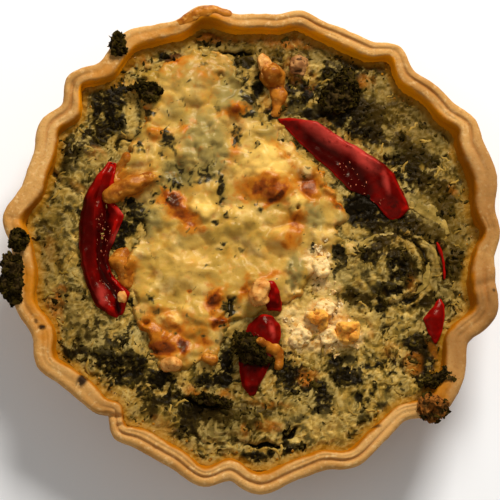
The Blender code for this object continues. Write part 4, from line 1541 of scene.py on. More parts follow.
    def custard(self) -> tuple[Array, dict[str, Array]]:
        """Shapes the custard's top.

        Returns:
            Heights in millimetres and the numbers its material reads.
        """
        field = self.field
        x, y = field.x, field.y
        shred = 1 - 2.4 * np.abs(self.fine.fractal(self.swirled(7.0, 4.5) + 13, 3.4, 3, 0.6))
        curds, _ = self.coarse.cells(self.swirled(11.0, 6.0)[..., :2] + 30, 3.6)
        leaf = self.leaf_field()
        leafy = smoothstep((leaf + 0.1) / 0.35)
        crumple = 1 - 2.2 * np.abs(self.fine.fractal(self.swirled(6.0, 4.0), 4.0, 3, 0.55))
        near = tuple(along + self.fine.smooth(field.flat + shift, 3) for along, shift in ((x, 0), (y, 9)))
        crevice = cover(CREVICES, *near, 0.5)
        top = field.base + 0.6 * self.coarse.fractal(field.flat, 9.0, 3)
        top += (1 - leafy) * (0.34 * (bead(curds, 0.8) - 0.5) + 0.42 * shred)
        top += 0.75 * cover(SLABS, x, y, 0.22) - 1.8 * crevice - 1.5 * cover(SUNKEN, x, y, 0.5)
        top += leafy * (0.6 * crumple + 0.2)
        top += 0.6 * np.exp(-np.maximum(field.wall, 0) / 1.5) - 0.3 * smoothstep((3.5 - field.wall) / 2.0)
        top += 0.14 * self.fine.fractal(field.flat, 1.3, 2)
        feta, crumbly = self.feta_bed(*near)
        roll, groove, pale_band = self.leaf_roll(*near)
        top += crumbly
        top += roll
        leaf = leaf - 1.3 * feta - 0.5 * pale_band
        field.leaf, field.top = leaf, top
        marks = {
            "leaf": leaf,
            # hollow: depth below the softened surface, which the material paints as shade
            "hollow": blurred(top, self.everywhere, 2.2) - top,
            "crevice": np.maximum(crevice, groove),
            "shred": shred,
            "feta": feta,
            "near": smoothstep((field.cheese_cover + 9) / 9),
            "wall": field.wall,
            "pale": cover(CUSTARD_PALE, x, y, 0.6),
            # toasted spots, and painted shadow along the top wall
            "toasted": cover(CUSTARD_TOAST_AND_SHADOW, *near, 0.55),
            # painted shade, mostly beside the wall
            "dusky": cover(CUSTARD_PAINTED_SHADE, x, y, 0.8),
        }
        return top, marks

    def cheese(self) -> tuple[Array, Array, dict[str, Array]]:
        """Shapes the melted cheese that lies on the custard.

        Returns:
            Heights in millimetres, the way to its border, and the numbers its material reads.
        """
        field, flat = self.field, self.field.flat
        coarse, fine = self.coarse, self.fine
        x, y = field.x, field.y
        reach = field.cheese_cover + 4.6 * coarse.fractal(flat + 11, 9.0, 3)
        reach += 2.2 * fine.fractal(flat, 3.4, 3)
        body = smoothstep((reach + 0.6) / 3.6)
        near = tuple(along + 1.1 * fine.fractal(flat + shift, 4.5, 2) for along, shift in ((x, 0), (y, 31)))
        lumps = blurred(pile(CHEESE_LUMPS, *near), self.everywhere, 0.9)
        cool = cover(COOL, *near, 0.7)
        gap = cover(GAPS, *near, 0.8)
        curds, _ = coarse.cells(self.swirled(9.0, 2.0)[..., :2], 4.1)
        small, _ = fine.cells(self.swirled(5.0, 1.5)[..., :2] + 7, 2.2)
        wide, next_wide = coarse.cells(self.swirled(12.0, 4.0)[..., :2] + 50, 8.0)
        pillow = bead(wide, 0.95) - 0.5 * bell(next_wide, wide, 0.09)
        lumpy = smoothstep(0.45 + 1.6 * coarse.fractal(flat + 200, 14.0, 2) + 0.7 * cool)
        lift = 0.9 * coarse.fractal(flat, 10.0, 2) + 0.4 * pillow + 0.18 * coarse.fractal(flat + 70, 4.5, 2)
        lift += lumpy * (0.1 + 0.6 * cool) * (bead(curds, 0.74) - 0.45)
        lift += lumpy * (0.08 + 0.32 * cool) * (bead(small, 0.7) - 0.4)
        feta, crumbly = self.feta_bed(*near)
        thick = 0.72 * np.maximum(field.cheese - field.base, 0.5) + 1.15 * lumps
        thick = thick + 2.1 * blurred(lift, self.everywhere, 0.8) + crumbly
        top = field.base + body * thick - (1 - body) * 1.1 - 0.7 * gap
        field.top = np.where(reach > 0, np.maximum(field.top, top), field.top)
        marks = {
            "brown": cover(BROWNED, *near, 0.7),
            "bright": cover(BRIGHT, *near, 0.8),
            "cool": cool,
            "warm": cover(WARM, *near, 0.75),
            "speck": self.herbs(reach, gap, cool),
            # hollow: depth below the softened surface, which the material paints as shade
            "hollow": blurred(top, self.everywhere, 2.4) - top,
            "edge": reach,
            "feta": feta,
            "pillow": pillow,
            "gap": gap,
        }
        return top, reach, marks

    def herbs(self, reach: Array, gap: Array, cool: Array) -> Array:
        """Where herbs and the leafy custard below show in the cheese.

        Args:
            reach: Way to the cheese's border.
            gap: Where the cheese is thin.
            cool: Where it is grey-green.

        Returns:
            Numbers above zero where they show.
        """
        flat, fine = self.field.flat, self.fine
        x = self.field.x + 0.7 * fine.smooth(flat, 2)
        y = self.field.y + 0.7 * fine.smooth(flat + 3, 2)
        specks = cover(CHEESE_SPECKS, x, y, 0.5) + 0.6 * fine.fractal(flat + 51, 1.7, 2) - 0.46
        scattered = 0.9 * fine.fractal(flat + 77, 1.9, 2) - 0.9 + 0.3 * cool
        showing = self.field.leaf + 0.2 + 0.75 * gap - 0.14 * np.clip(reach, 0, 6)
        tatters = 1.8 * fine.fractal(self.swirled(5.0, 3.0) + 15, 2.6, 3, 0.6) + 1.55 * gap - 0.92
        return np.maximum(np.maximum(specks, scattered), np.maximum(showing, tatters))


class HeightSolid:
    """Turns heights on a grid into one closed mesh. A flat underside is narrower than the top."""

    FOOT_SHARE = 0.8

    def __init__(self, x: Array, y: Array, keep: Array) -> None:
        """Numbers the used points of the grid.

        Args:
            x: Places along X.
            y: Places along Y.
            keep: Which cells belong to the solid, one fewer than points each way.
        """
        self.x, self.y = x, y
        self.keep = self.without_bare_corners(keep)
        used = np.zeros(x.shape, bool)
        for dr in (0, 1):
            for dc in (0, 1):
                used[dr : dr + keep.shape[0], dc : dc + keep.shape[1]] |= self.keep
        self.used = used
        self.number = np.full(x.shape, -1)
        self.number[used] = np.arange(used.sum())

    @staticmethod
    def without_bare_corners(keep: Array) -> Array:
        """Fills cells until no two kept cells meet only at a corner.

        Args:
            keep: The kept cells.

        Returns:
            The kept cells and the filled ones.
        """
        filled = keep.copy()
        for _ in range(6):
            a, b = filled[:-1, :-1], filled[1:, 1:]
            c, d = filled[:-1, 1:], filled[1:, :-1]
            falling = a & b & ~c & ~d
            rising = c & d & ~a & ~b
            if not (falling | rising).any():
                break
            filled[:-1, 1:] |= falling
            filled[:-1, :-1] |= rising
        return filled

    def corners(self, rows: Array, columns: Array) -> Array:
        """Point numbers of cells, anticlockwise from above.

        Args:
            rows: Row of each cell.
            columns: Column of each cell.

        Returns:
            Four numbers for each cell.
        """
        n = self.number
        return np.stack((
            n[rows, columns], n[rows, columns + 1], n[rows + 1, columns + 1], n[rows + 1, columns],
        ), -1)

    def rim_edges(self) -> Array:
        """Pairs of point numbers along the solid's border, in the top face's order.

        Returns:
            An array (edges, 2).
        """
        padded = np.pad(self.keep, 1)
        here = padded[1:-1, 1:-1]
        away = {0: padded[:-2, 1:-1], 1: padded[1:-1, 2:], 2: padded[2:, 1:-1], 3: padded[1:-1, :-2]}
        edges = []
        for side, beyond in away.items():
            rows, columns = np.nonzero(here & ~beyond)
            ring = self.corners(rows, columns)
            edges.append(np.stack((ring[:, side], ring[:, (side + 1) % 4]), -1))
        return np.vstack(edges)

    def mesh(self, name: str, top: Array, bottom: Array | float) -> Mesh:
        """Closes the solid with walls and an underside.

        Args:
            name: Name of the mesh.
            top: Heights of its top.
            bottom: Heights of its underside, or one height for a flat underside.

        Returns:
            The mesh. Its first points are those of the top.
        """
        rows, columns = np.nonzero(self.keep)
        faces = self.corners(rows, columns)
        x, y, z = self.x[self.used], self.y[self.used], top[self.used]
        upper = np.stack((x, y, z), -1)
        edges = self.rim_edges()
        count = len(upper)
        if isinstance(bottom, float):
            rim = np.unique(edges)
            below = np.full(count, -1)
            below[rim] = count + np.arange(len(rim))
            lower = upper[rim] * (self.FOOT_SHARE, self.FOOT_SHARE, 0) + (0, 0, bottom)
            middle = count + len(rim)
            lower = np.vstack((lower, (0, 0, bottom)))
            base = np.stack((below[edges[:, 1]], below[edges[:, 0]], np.full(len(edges), middle)), -1)
        else:
            below = count + np.arange(count)
            lower = np.stack((x, y, bottom[self.used]), -1)
            base = faces[:, ::-1] + count
        walls = np.stack((edges[:, 1], edges[:, 0], below[edges[:, 0]], below[edges[:, 1]]), -1)
        return mesh_of(name, np.vstack((upper, lower)), [*faces.tolist(), *walls.tolist(), *base.tolist()])

    def store(self, mesh: Mesh, marks: dict[str, Array]) -> None:
        """Keeps grid numbers on the solid's top, and zero elsewhere.

        Args:
            mesh: The solid.
            marks: Numbers on the grid, by name.
        """
        spare = np.zeros(len(mesh.vertices) - int(self.used.sum()))
        for name, values in marks.items():
            store(mesh, name, np.append(values[self.used], spare))


class Custard:
    """Spinach custard that fills the case."""

    FLOOR = 8.0

    @staticmethod
    def material() -> Material:
        """Golden-olive custard that darkens to green and nearly black where leaves show, with painted shade
        in its hollows, its clefts and beside the wall.

        Returns:
            The material.
        """
        paint = Paint("spinach_custard", Finish(0.42, 0.05, 0.08, (1.6, 0.9, 0.3)))
        # painted shade: hollows push the colour toward the dark end of the ramp
        leaf = paint.plus(paint.ragged("leaf", 2.4, 1.35, 5), paint.times("hollow", 0.22))
        paint.ramp(leaf, (
            (-1.05, (218, 182, 100)), (-0.66, (170, 133, 56)), (-0.36, (130, 102, 38)),
            (-0.10, (92, 74, 25)), (0.13, (50, 39, 12)), (0.36, (17, 11, 3)),
        ))
        plain = paint.step(leaf, 0.1, -0.2)
        paint.layer(paint.times(paint.spots(15, 4, 0.5, 0.68), plain), (180, 126, 42), 0.45)
        paint.layer(paint.times(paint.spots(11, 4, 0.48, 0.34), plain), (130, 114, 62), 0.6)
        paint.layer(paint.times(paint.step("shred", 0.4, 0.95), plain), (196, 168, 100), 0.5)
        paint.layer("pale", (172, 146, 78), 0.28)
        paint.layer(paint.times("near", paint.spots(4.5, 4, 0.4, 0.62), plain), (188, 146, 64), 0.6)
        # painted shade: the custard is darker in the marked stretches, mostly beside the wall
        paint.layer("dusky", (78, 57, 12), 0.58)
        Custard.add_feta(paint)
        crust = paint.mix(paint.noise(2.6, 3), (112, 48, 4), (196, 118, 26))
        # toasted spots, and painted shadow in the strips along the top wall
        paint.layer(paint.times("toasted", paint.spots(3.2, 4, 0.3, 0.6)), crust)
        # painted shade: hollows are darkened
        paint.layer(paint.step("hollow", 0.12, 0.7), (62, 42, 6), 0.8)
        # painted shade: an amber band darkens the custard where it meets the wall
        beside_wall = paint.plus("wall", paint.times(paint.noise(5, 3), 2.5))
        paint.layer(paint.step(beside_wall, 3.8, 1.6), (158, 104, 14), 0.7)
        # painted shade: clefts and the leaf roll's groove are painted near black
        paint.layer(paint.step("crevice", 0.3, 0.8), (12, 8, 2))
        paint.gloss(0.26, paint.noise(4, 3), 0.2)
        return paint.bump(1.2, 5, 0.3)

    @staticmethod
    def add_feta(paint: Paint) -> None:
        """Covers a surface with crumbled feta where that has sunk in."""
        crumbled = paint.mix(paint.spots(2.2, 4, 0.42, 0.7), (220, 184, 118), (200, 140, 60))
        paint.layer(paint.step(paint.ragged("feta", 2.6, 1.1), 0.3, 0.85), crumbled)

    @staticmethod
    def build(relief: Relief) -> Object:
        """Makes the custard as one closed mesh.

        Args:
            relief: The shared grid.

        Returns:
            The object.
        """
        top, marks = relief.custard()
        field = relief.field
        within = field.wall > -relief.SIZES.wall_overlap
        solid = HeightSolid(field.x, field.y, within[:-1, :-1] & within[1:, 1:])
        mesh = solid.mesh("custard_relief", top, Custard.FLOOR)
        bare = (field.cheese_cover < 1.2) * (field.wall > 1.2)
        marks["leafy"] = smoothstep((marks["leaf"] - 0.05) / 0.3) * bare
        marks["shreddy"] = smoothstep((0.1 - marks["leaf"]) / 0.4) * bare
        marks["stringy"] = (0.3 + 0.7 * smoothstep((marks["leaf"] + 0.35) / 0.4)) * bare * (1 - marks["feta"])
        marks["crumbly"] = marks["feta"] * bare
        marks["oily"] = smoothstep((4.0 - field.wall) / 1.5) * (field.wall > 0.4)
        solid.store(mesh, marks)
        mesh.materials.append(Custard.material())
        return new_object("custard_relief", mesh)


@dataclass(frozen=True)
class CheeseSizes:
    """Sizes of the cheese in millimetres: depth in the custard, least thickness and borders."""

    sunk: float = 1.5
    thinnest: float = 0.6
    border: float = -0.8
    wall_gap: float = 0.4


class MeltedCheese:
    """The blanket of melted and browned cheese."""

    SIZES = CheeseSizes()

    @staticmethod
    def material() -> Material:
        """Pale melted cheese: grey-green where it is thin, golden to brown where it has roasted, with painted
        shade in its hollows and in the creases between its pillows.

        Returns:
            The material.
        """
        paint = Paint("melted_cheese_looks", Finish(0.3, 0.16, 0.12, (1.4, 1.0, 0.4)), (180, 140, 56))
        paint.layer(paint.spots(12, 4, 0.36, 0.66), (202, 158, 72))
        paint.layer(paint.spots(6, 4, 0.5, 0.68), (222, 186, 108), 0.7)
        paint.layer(paint.spots(5, 5, 0.54, 0.68), (206, 140, 44), 0.5)
        # painted shade: the creases between the pillows are darkened
        paint.layer(paint.step("pillow", 0.3, -0.3), (170, 116, 40), 0.3)
        for name, size, amount, low, high, tint, share in (
            ("cool", 4.0, 0.9, 0.15, 0.8, (146, 127, 68), 0.85),
            ("warm", 4.0, 1.8, 0.35, 1.0, (186, 110, 18), 0.88),
            ("bright", 4.0, 0.6, 0.25, 0.85, (234, 188, 92), 0.92),
            ("gap", 3.0, 1.0, 0.2, 0.9, (104, 90, 44), 0.8),
        ):
            paint.layer(paint.step(paint.ragged(name, size, amount), low, high), tint, share)
        border = paint.mix(paint.spots(6, 3, 0.44, 0.6), (140, 108, 36), (176, 112, 30))
        paint.layer(paint.step(paint.ragged("edge", 3.0, 6.0), 5.5, 0.2), border, 0.8)
        # painted shade: hollows darken, olive where the cheese is grey-green and brown elsewhere
        deep = paint.mix(paint.step("cool", 0.2, 0.9), (146, 92, 24), (72, 60, 24))
        paint.layer(paint.step("hollow", 0.08, 0.66), deep, 0.72)
        brown = paint.ragged("brown", 3.0, 1.5)
        paint.layer(paint.step(brown, 0.05, 0.55), (186, 106, 18), 0.95)
        paint.layer(paint.step(brown, 0.48, 0.85), (140, 62, 5))
        paint.layer(paint.step(brown, 0.82, 1.15), (76, 28, 2))
        Custard.add_feta(paint)
        speck = paint.ragged("speck", 1.2, 0.6)
        paint.layer(paint.step(speck, -0.12, 0.3), (98, 82, 34), 0.75)
        paint.layer(paint.step(speck, 0.24, 0.62), (38, 29, 8))
        paint.gloss(0.2, paint.noise(3, 3), 0.24)
        return paint.bump(0.9, 4, 0.1)

    @staticmethod
    def build(relief: Relief) -> Object:
        """Makes the cheese as one closed mesh that sinks into the custard at its border.

        Args:
            relief: The shared grid.

        Returns:
            The object.
        """
        top, reach, marks = relief.cheese()
        field = relief.field
        size = MeltedCheese.SIZES
        within = (reach > size.border) & (field.wall > size.wall_gap)
        solid = HeightSolid(field.x, field.y, within[:-1, :-1])
        bottom = np.minimum(field.base - size.sunk, top - size.thinnest)
        mesh = solid.mesh("melted_cheese_blanket", top, bottom)
        marks["leafy"] = smoothstep((marks["speck"] - 0.12) / 0.2)
        marks["leaf"] = np.full(top.shape, 0.2)
        marks["crumbly"] = marks["feta"] * (reach > 1.5)
        solid.store(mesh, marks)
        mesh.materials.append(MeltedCheese.material())
        return new_object("melted_cheese_blanket", mesh)


# ---- toppings


class Look(Enum):
    """Kinds of topping."""

    PEPPER = "pepper"
    ONION = "onion"
    FETA = "feta"
    LUMP = "browned_cheese"
    CRISP = "crisp_cheese"
    MUSHROOM = "mushroom"
    CHARRED = "spinach"


@dataclass(frozen=True)
class Skin:
    """How finely a topping is shaped, and how rough its surface is, in millimetres."""

    cell: float
    softening: int
    waves: float
    wave_size: float
    ridges: float
    ridge_size: float
    swell: float = 0.0


SKINS = {
    Look.PEPPER: Skin(0.34, 26, 0.35, 5.0, 0.0, 2.0),
    Look.ONION: Skin(0.26, 14, 0.3, 4.0, 0.0, 1.2),
    Look.FETA: Skin(0.26, 4, 0.8, 3.0, -0.3, 1.8),
    Look.LUMP: Skin(0.28, 10, 0.7, 4.0, -0.05, 2.4),
    Look.CRISP: Skin(0.28, 14, 0.8, 5.0, 0.0, 2.4),
    Look.MUSHROOM: Skin(0.28, 4, 0.45, 3.4, -0.4, 2.4),
    Look.CHARRED: Skin(0.34, 4, 1.7, 4.2, 0.9, 2.4, -1.0),
}


PEPPER_FOLDS = (
    Crease((16, 43), (33, 33.5), 1.9, -1.0), Crease((33, 33.5), (41.5, 27), 1.9, -1.1),
    Crease((41.5, 27), (44, 17), 1.8, -0.7), Crease((20, 35.5), (31, 27), 2.6, 0.9),
    Crease((31, 27), (38, 17), 2.4, 0.8), Crease((-56.5, 16), (-58.5, -6), 2.4, -0.7),
    Crease((-58.5, -6), (-52, -24), 2.2, -0.6), Crease((-50.5, 12), (-50.5, -8), 1.8, 0.8),
    Crease((2, -26), (6, -32), 1.4, -0.5), Crease((3, -44), (2, -54), 1.6, -0.6),
)
# Painted shade: where the peppers are darkest, on faces turned away from the lamp and in their hollows.
PEPPER_SHADED = patches((
    (23, 31.5, 10, 3.4, 1, -40), (33, 22, 10, 3.6, 1, -52), (-50.4, 0, 3, 11, 1, 4),
    (-56.5, 4, 3, 14, 0.95, 6), (-54.5, -16, 2.5, 8, 0.6, 15), (-51, -16, 2.4, 6, 0.5, 12),
    (0, -48, 2, 8, 0.7, 10), (55, -25, 2.4, 5, 0.3),
))

# Painted highlights: where the peppers are painted a bright pink-red as if catching the lamp.
PEPPER_LIT = patches((
    (24.6, 36, 9, 2, 1, -31), (35, 29.8, 6, 2, 1, -42), (43.4, 21, 0.8, 3.4, 0.7, 14),
    (43, 22, 1, 3, 0.6, 10), (-44.5, 9.5, 1.6, 1, 0.9, -30), (-45.5, 2.5, 0.8, 3.4, 0.9, -35),
    (-59.5, 6, 0.7, 8, 0.5, 4), (5.5, -30, 0.8, 2.6, 0.8, 10), (4.6, -38, 0.7, 2.6, 0.5),
    (-50.5, -19, 1.4, 3, 0.6, 10), (55.5, -20, 0.8, 3.4, 0.7, 10),
))

# Where the peppers are charred; along the left pepper's hollow the same near-black is painted shade.
PEPPER_CHAR_AND_SHADE = patches((
    (-3, -36.5, 4.5, 6, 0.75, 10), (1.5, -40, 5, 3, 0.55), (-1.5, -31, 1.6, 1.2, 0.35),
    (46, 13.5, 2.6, 1.8, 0.42), (42, 20, 1.6, 4, 0.2, 20), (-50, 0, 2.6, 10, 0.42, 6),
    (-50.5, -5, 1.6, 3, 0.36),
))

# Where the feta is toasted.
FETA_TOAST = patches((
    (20.6, -26.4, 4.4, 3.2, 0.85), (31, -30, 5, 4, 0.8), (21, -3.4, 3.2, 2, 0.5),
    (17.5, -35.5, 2, 1.6, 0.55), (34, -30, 2, 2, 0.8),
))


@dataclass(frozen=True)
class Morsel:
    """A soft lump grown from rounded blobs that rest on whatever lies below them.

    A blob is its place along X and Y, its radius, and its middle's height over the ground.
    """

    name: str
    look: Look
    blobs: tuple[tuple[float, float, float, float], ...]


MORSELS = (
    Morsel("crisp_curl", Look.CRISP, (
        (1.4, -33.8, 1.6, -0.2), (4.4, -35.2, 1.9, -0.5), (7.2, -36.2, 2.0, -0.7), (8.0, -38.8, 1.8, -0.6),
        (7.6, -41.4, 1.5, -0.4),
    )),
    Morsel("roasted_strip", Look.CRISP, (
        (4.8, 58.0, 4.2, -3.1), (7.0, 55.6, 3.9, -2.8), (6.2, 53.0, 3.3, -2.3), (7.8, 50.4, 2.8, -1.9),
        (7.4, 47.6, 2.3, -1.5), (6.6, 44.8, 1.9, -1.3),
    )),
    Morsel("roll_left", Look.CRISP, (
        (-49.0, 14.6, 2.6, -0.8), (-44.6, 16.6, 3.1, -0.9), (-40.4, 18.4, 3.1, -1.0),
        (-36.4, 20.4, 2.4, -1.2),
    )),
    Morsel("roll_upper_left", Look.CRISP, (
        (-46.6, 20.6, 2.2, -0.9), (-45.4, 24.4, 2.4, -0.9), (-43.4, 27.6, 2.0, -1.0),
    )),
    Morsel("fold_left", Look.CRISP, (
        (-43.6, -4.0, 2.4, -0.9), (-46.0, -7.2, 3.2, -0.9), (-43.4, -9.8, 3.4, -1.0),
        (-42.4, -14.0, 2.6, -1.1),
    )),
    Morsel("spill_on_rim", Look.CRISP, (
        (-10.0, 77.6, 1.5, -1.0), (-15.0, 78.6, 1.9, -1.0), (-19.4, 77.4, 2.1, -1.1),
        (-24.0, 75.2, 1.8, -1.1), (-30.0, 72.4, 1.6, -1.1),
    )),
    Morsel("golden_crust_middle", Look.FETA, (
        (17.8, -24.2, 1.2, 0.2), (20.2, -26.2, 1.7, 0.6), (22.8, -25.4, 1.5, 0.6), (22.0, -28.6, 1.4, 0.2),
    )),
    Morsel("golden_crust_right", Look.FETA, (
        (27.6, -28.0, 1.2, 0.2), (30.2, -28.8, 1.8, 0.5), (33.6, -28.0, 1.5, 0.3), (32.6, -31.8, 1.5, 0.2),
    )),
    Morsel("pepper_fold_left", Look.PEPPER, (
        (-48.4, 24.2, 2.2, -0.7), (-50.0, 20.4, 2.9, -1.2), (-51.4, 15.0, 3.1, -1.6), (-52.4, 9.6, 2.8, -1.9),
        (-52.6, 4.0, 2.4, -1.9),
    )),
    Morsel("pale_lump", Look.LUMP, ((1.6, -16.2, 3.2, -1.9), (0.4, -19.4, 3.1, -1.9))),
    Morsel("sunken_lump", Look.LUMP, ((-28.6, -41.6, 2.2, -0.6), (-26.6, -41.6, 2.4, -0.4))),
    Morsel("orange_lump", Look.CRISP, ((-16.0, -39.4, 1.6, -0.3), (-14.0, -39.6, 1.6, -0.3))),
    Morsel("charred_on_pepper", Look.CHARRED, (
        (-5.4, -31.4, 1.9, -0.3), (-4.6, -35.2, 2.4, -0.3), (-1.6, -38.2, 2.5, -0.3), (2.6, -39.8, 2.1, -0.2),
        (5.6, -39.6, 1.6, -0.3),
    )),
)


class Toppings:
    """Peppers, onion, feta, browned lumps, mushroom and charred spinach."""

    RELAX = 0.6
    CURVE_SHARE = 2.2
    MARKS = (
        ("shaded", PEPPER_SHADED, 0.4), ("lit", PEPPER_LIT, 0.8), ("char", PEPPER_CHAR_AND_SHADE, 0.5),
        ("toast", FETA_TOAST, 0.6),
    )

    def __init__(self, shapes: PackedShapes) -> None:
        """Makes one material for each kind of topping.

        Args:
            shapes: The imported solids.
        """
        self.shapes = shapes
        self.grain = Grain(53)
        self.paints = {
            Look.PEPPER: self.pepper(), Look.ONION: self.onion(), Look.FETA: self.feta(),
            Look.LUMP: self.lump(), Look.CRISP: self.crisp(), Look.MUSHROOM: self.mushroom(),
            Look.CHARRED: self.charred(),
        }

    @staticmethod
    def pepper() -> Material:
        """Glossy roasted red pepper, painted nearly black in its hollows and darker on its shaded faces as
        painted shade, and brighter on its crests and lit ridges as painted light.

        Returns:
            The material.
        """
        paint = Paint("roasted_pepper", Finish(0.2, 0.07, 0.0, (1.5, 0.3, 0.1)), (82, 2, 0))
        paint.layer(paint.spots(7, 3, 0.34, 0.66), (114, 4, 1))
        # painted shade: hollows are darkened
        paint.layer(paint.step("hollow", 0.0, 0.7), (46, 2, 0))
        # painted light: crests are painted a brighter red
        paint.layer(paint.step("crest", 0.35, 1.0), (150, 10, 4))
        # painted shade on the marked faces
        paint.layer("shaded", (46, 1, 0), 0.9)
        # painted highlights on the marked ridges
        paint.layer(paint.times("lit", paint.spots(2.4, 3, 0.24, 0.5)), (204, 66, 54), 0.85)
        # char, and painted shade along the left pepper's hollow
        char = paint.plus("char", paint.times(paint.noise(1.8, 4), 0.7))
        paint.layer(paint.step(char, 0.7, 1.0), (20, 7, 4))
        paint.gloss(0.08, paint.noise(2.4, 3), 0.22)
        return paint.bump(1.7, 3, 0.16)

    @staticmethod
    def onion() -> Material:
        """Soft translucent onion stained by the custard.

        Returns:
            The material.
        """
        paint = Paint("soft_onion", Finish(0.3, 0.1, 0.1, (1.4, 1.0, 0.4)), (132, 106, 44))
        paint.layer(paint.spots(3.4, 3, 0.36, 0.66), (172, 140, 68))
        paint.layer(paint.spots(1.4, 3, 0.56, 0.72), (84, 74, 32))
        return paint.bump(0.8, 3, 0.1)

    @staticmethod
    def feta() -> Material:
        """Crumbly feta, ivory with toasted edges and painted shade in its hollows.

        Returns:
            The material.
        """
        paint = Paint("feta_crumb", Finish(0.55, 0.1, 0.3, (1.6, 1.2, 0.7)), (234, 200, 136))
        paint.layer(paint.spots(2.6, 4, 0.4, 0.7), (218, 174, 100))
        toast = paint.plus("toast", paint.times(paint.noise(2.4, 4), 0.8))
        paint.layer(paint.step(toast, 0.55, 0.9), (232, 166, 66))
        paint.layer(paint.step(toast, 1.05, 1.4), (190, 108, 28))
        # painted shade: hollows are darkened
        paint.layer(paint.step("hollow", 0.3, 1.0), (190, 136, 66))
        return paint.bump(1.0, 5, 0.2)

    @staticmethod
    def lump() -> Material:
        """Cheese lumps roasted to orange and brown, with painted shade in their hollows.

        Returns:
            The material.
        """
        paint = Paint("roasted_cheese_lump", Finish(0.36, 0.14, 0.1, (1.4, 0.8, 0.4)), (222, 162, 84))
        paint.layer(paint.spots(3.2, 4, 0.36, 0.62), (196, 122, 50))
        paint.layer(paint.spots(1.9, 4, 0.55, 0.72), (150, 78, 26))
        # painted shade: hollows are darkened
        paint.layer(paint.step("hollow", 0.3, 1.0), (130, 68, 18))
        return paint.bump(0.8, 4, 0.16)

    @staticmethod
    def crisp() -> Material:
        """Oily cheese fried to a deep orange, with painted shade in its hollows.

        Returns:
            The material.
        """
        paint = Paint("crisp_cheese", Finish(0.34, 0.14, 0.05, (1.4, 0.8, 0.3)), (182, 110, 28))
        paint.layer(paint.spots(4.0, 4, 0.36, 0.64), (140, 72, 12))
        paint.layer(paint.spots(2.2, 4, 0.56, 0.74), (214, 152, 66))
        # painted shade: hollows are darkened
        paint.layer(paint.step("hollow", 0.2, 0.9), (112, 50, 6))
        return paint.bump(0.9, 4, 0.16)

    @staticmethod
    def mushroom() -> Material:
        """Brown mushroom under a film of custard, with painted shade in its hollows.

        Returns:
            The material.
        """
        paint = Paint("baked_mushroom", Finish(0.45, 0.1, 0.12, (1.2, 0.7, 0.4)), (132, 84, 44))
        paint.layer(paint.spots(3.2, 4, 0.36, 0.66), (176, 124, 70))
        # painted shade: hollows are darkened
        paint.layer(paint.step("hollow", 0.05, 0.5), (74, 44, 20))
        return paint.bump(0.9, 4, 0.16)

    @staticmethod
    def charred() -> Material:
        """Charred spinach, black-green with a few brown leaf edges.

        Returns:
            The material.
        """
        paint = Paint("charred_spinach", Finish(0.75, 0.03), (32, 23, 9))
        paint.layer(paint.spots(2.6, 4, 0.4, 0.68), (70, 52, 23))
        paint.layer(paint.spots(1.6, 4, 0.62, 0.78), (66, 48, 18))
        paint.layer(paint.times("rust", paint.spots(3.0, 4, 0.34, 0.6)), (156, 92, 34))
        return paint.bump(0.8, 4, 0.25)

    def build(self, node: str, look: Look) -> Object:
        """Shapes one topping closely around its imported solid.

        Args:
            node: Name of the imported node.
            look: Its kind.

        Returns:
            The object.
        """
        return self.finished(self.shapes.welded(node), node, look)

    def finished(self, solid: BMesh, node: str, look: Look) -> Object:
        """Rounds, roughens and paints a rough solid, and frees it.

        Args:
            solid: The rough solid.
            node: Name of the topping.
            look: Its kind.

        Returns:
            The object.
        """
        skin = SKINS[look]
        rough = bpy.data.meshes.new(node + "_rough")
        solid.to_mesh(rough)
        solid.free()
        host = new_object(node + "_host", rough)
        cells = host.modifiers.new("cells", "REMESH")
        cells.mode = "VOXEL"
        cells.voxel_size = skin.cell * MM
        cells.use_smooth_shade = True
        relax = host.modifiers.new("relax", "SMOOTH")
        relax.factor = self.RELAX
        relax.iterations = skin.softening
        mesh = baked(host, node + "_looks")
        points, facing = points_of(mesh), normals_of(mesh)
        waves = skin.waves * self.grain.fractal(points, skin.wave_size, 2)
        ridges = skin.ridges * (0.4 - np.abs(self.grain.fractal(points + 21, skin.ridge_size, 3)) * 1.6)
        move_points(mesh, points + facing * (skin.swell + waves + ridges)[:, None])
        mesh.materials.clear()
        mesh.materials.append(self.paints[look])
        self.mark(mesh, node)
        return new_object(node + "_looks", mesh)

    def grown(self, morsel: Morsel, ground: Array) -> Object:
        """Grows a lump from blobs.

        Args:
            morsel: Its name, kind and blobs.
            ground: Height in millimetres below each blob.

        Returns:
            The object.
        """
        rough = bmesh.new()
        beads = np.column_stack((np.array(morsel.blobs), ground))
        for x, y, radius, lift, level in flowing_line(beads, 5 * len(beads) - 4):
            place = Matrix.Translation(Vector((x, y, level + lift)) * MM)
            bmesh.ops.create_icosphere(rough, subdivisions=3, radius=radius * MM, matrix=place)
        return self.finished(rough, morsel.name, morsel.look)

    def mark(self, mesh: Mesh, node: str) -> None:
        """Keeps a topping's hollows and crests, which the materials paint as shade and light, its painted
        shade and highlights, char, toast and rust.

        Args:
            mesh: The topping.
            node: Its name.
        """
        points, facing = points_of(mesh), normals_of(mesh)
        ends = np.empty(len(mesh.edges) * 2, dtype=np.int32)
        mesh.edges.foreach_get("vertices", ends)
        first, second = ends.reshape(-1, 2).T
        bend = ((facing[second] - facing[first]) * (points[second] - points[first])).sum(1)
        bend /= np.maximum(((points[second] - points[first]) ** 2).sum(1), 1e-6)
        total, count = np.zeros(len(points)), np.zeros(len(points))
        for end in (first, second):
            np.add.at(total, end, bend)
            np.add.at(count, end, 1)
        curve = total / np.maximum(count, 1)
        for _ in range(6):
            gathered = np.zeros(len(points))
            np.add.at(gathered, first, curve[second])
            np.add.at(gathered, second, curve[first])
            curve = 0.5 * curve + 0.5 * gathered / np.maximum(count, 1)
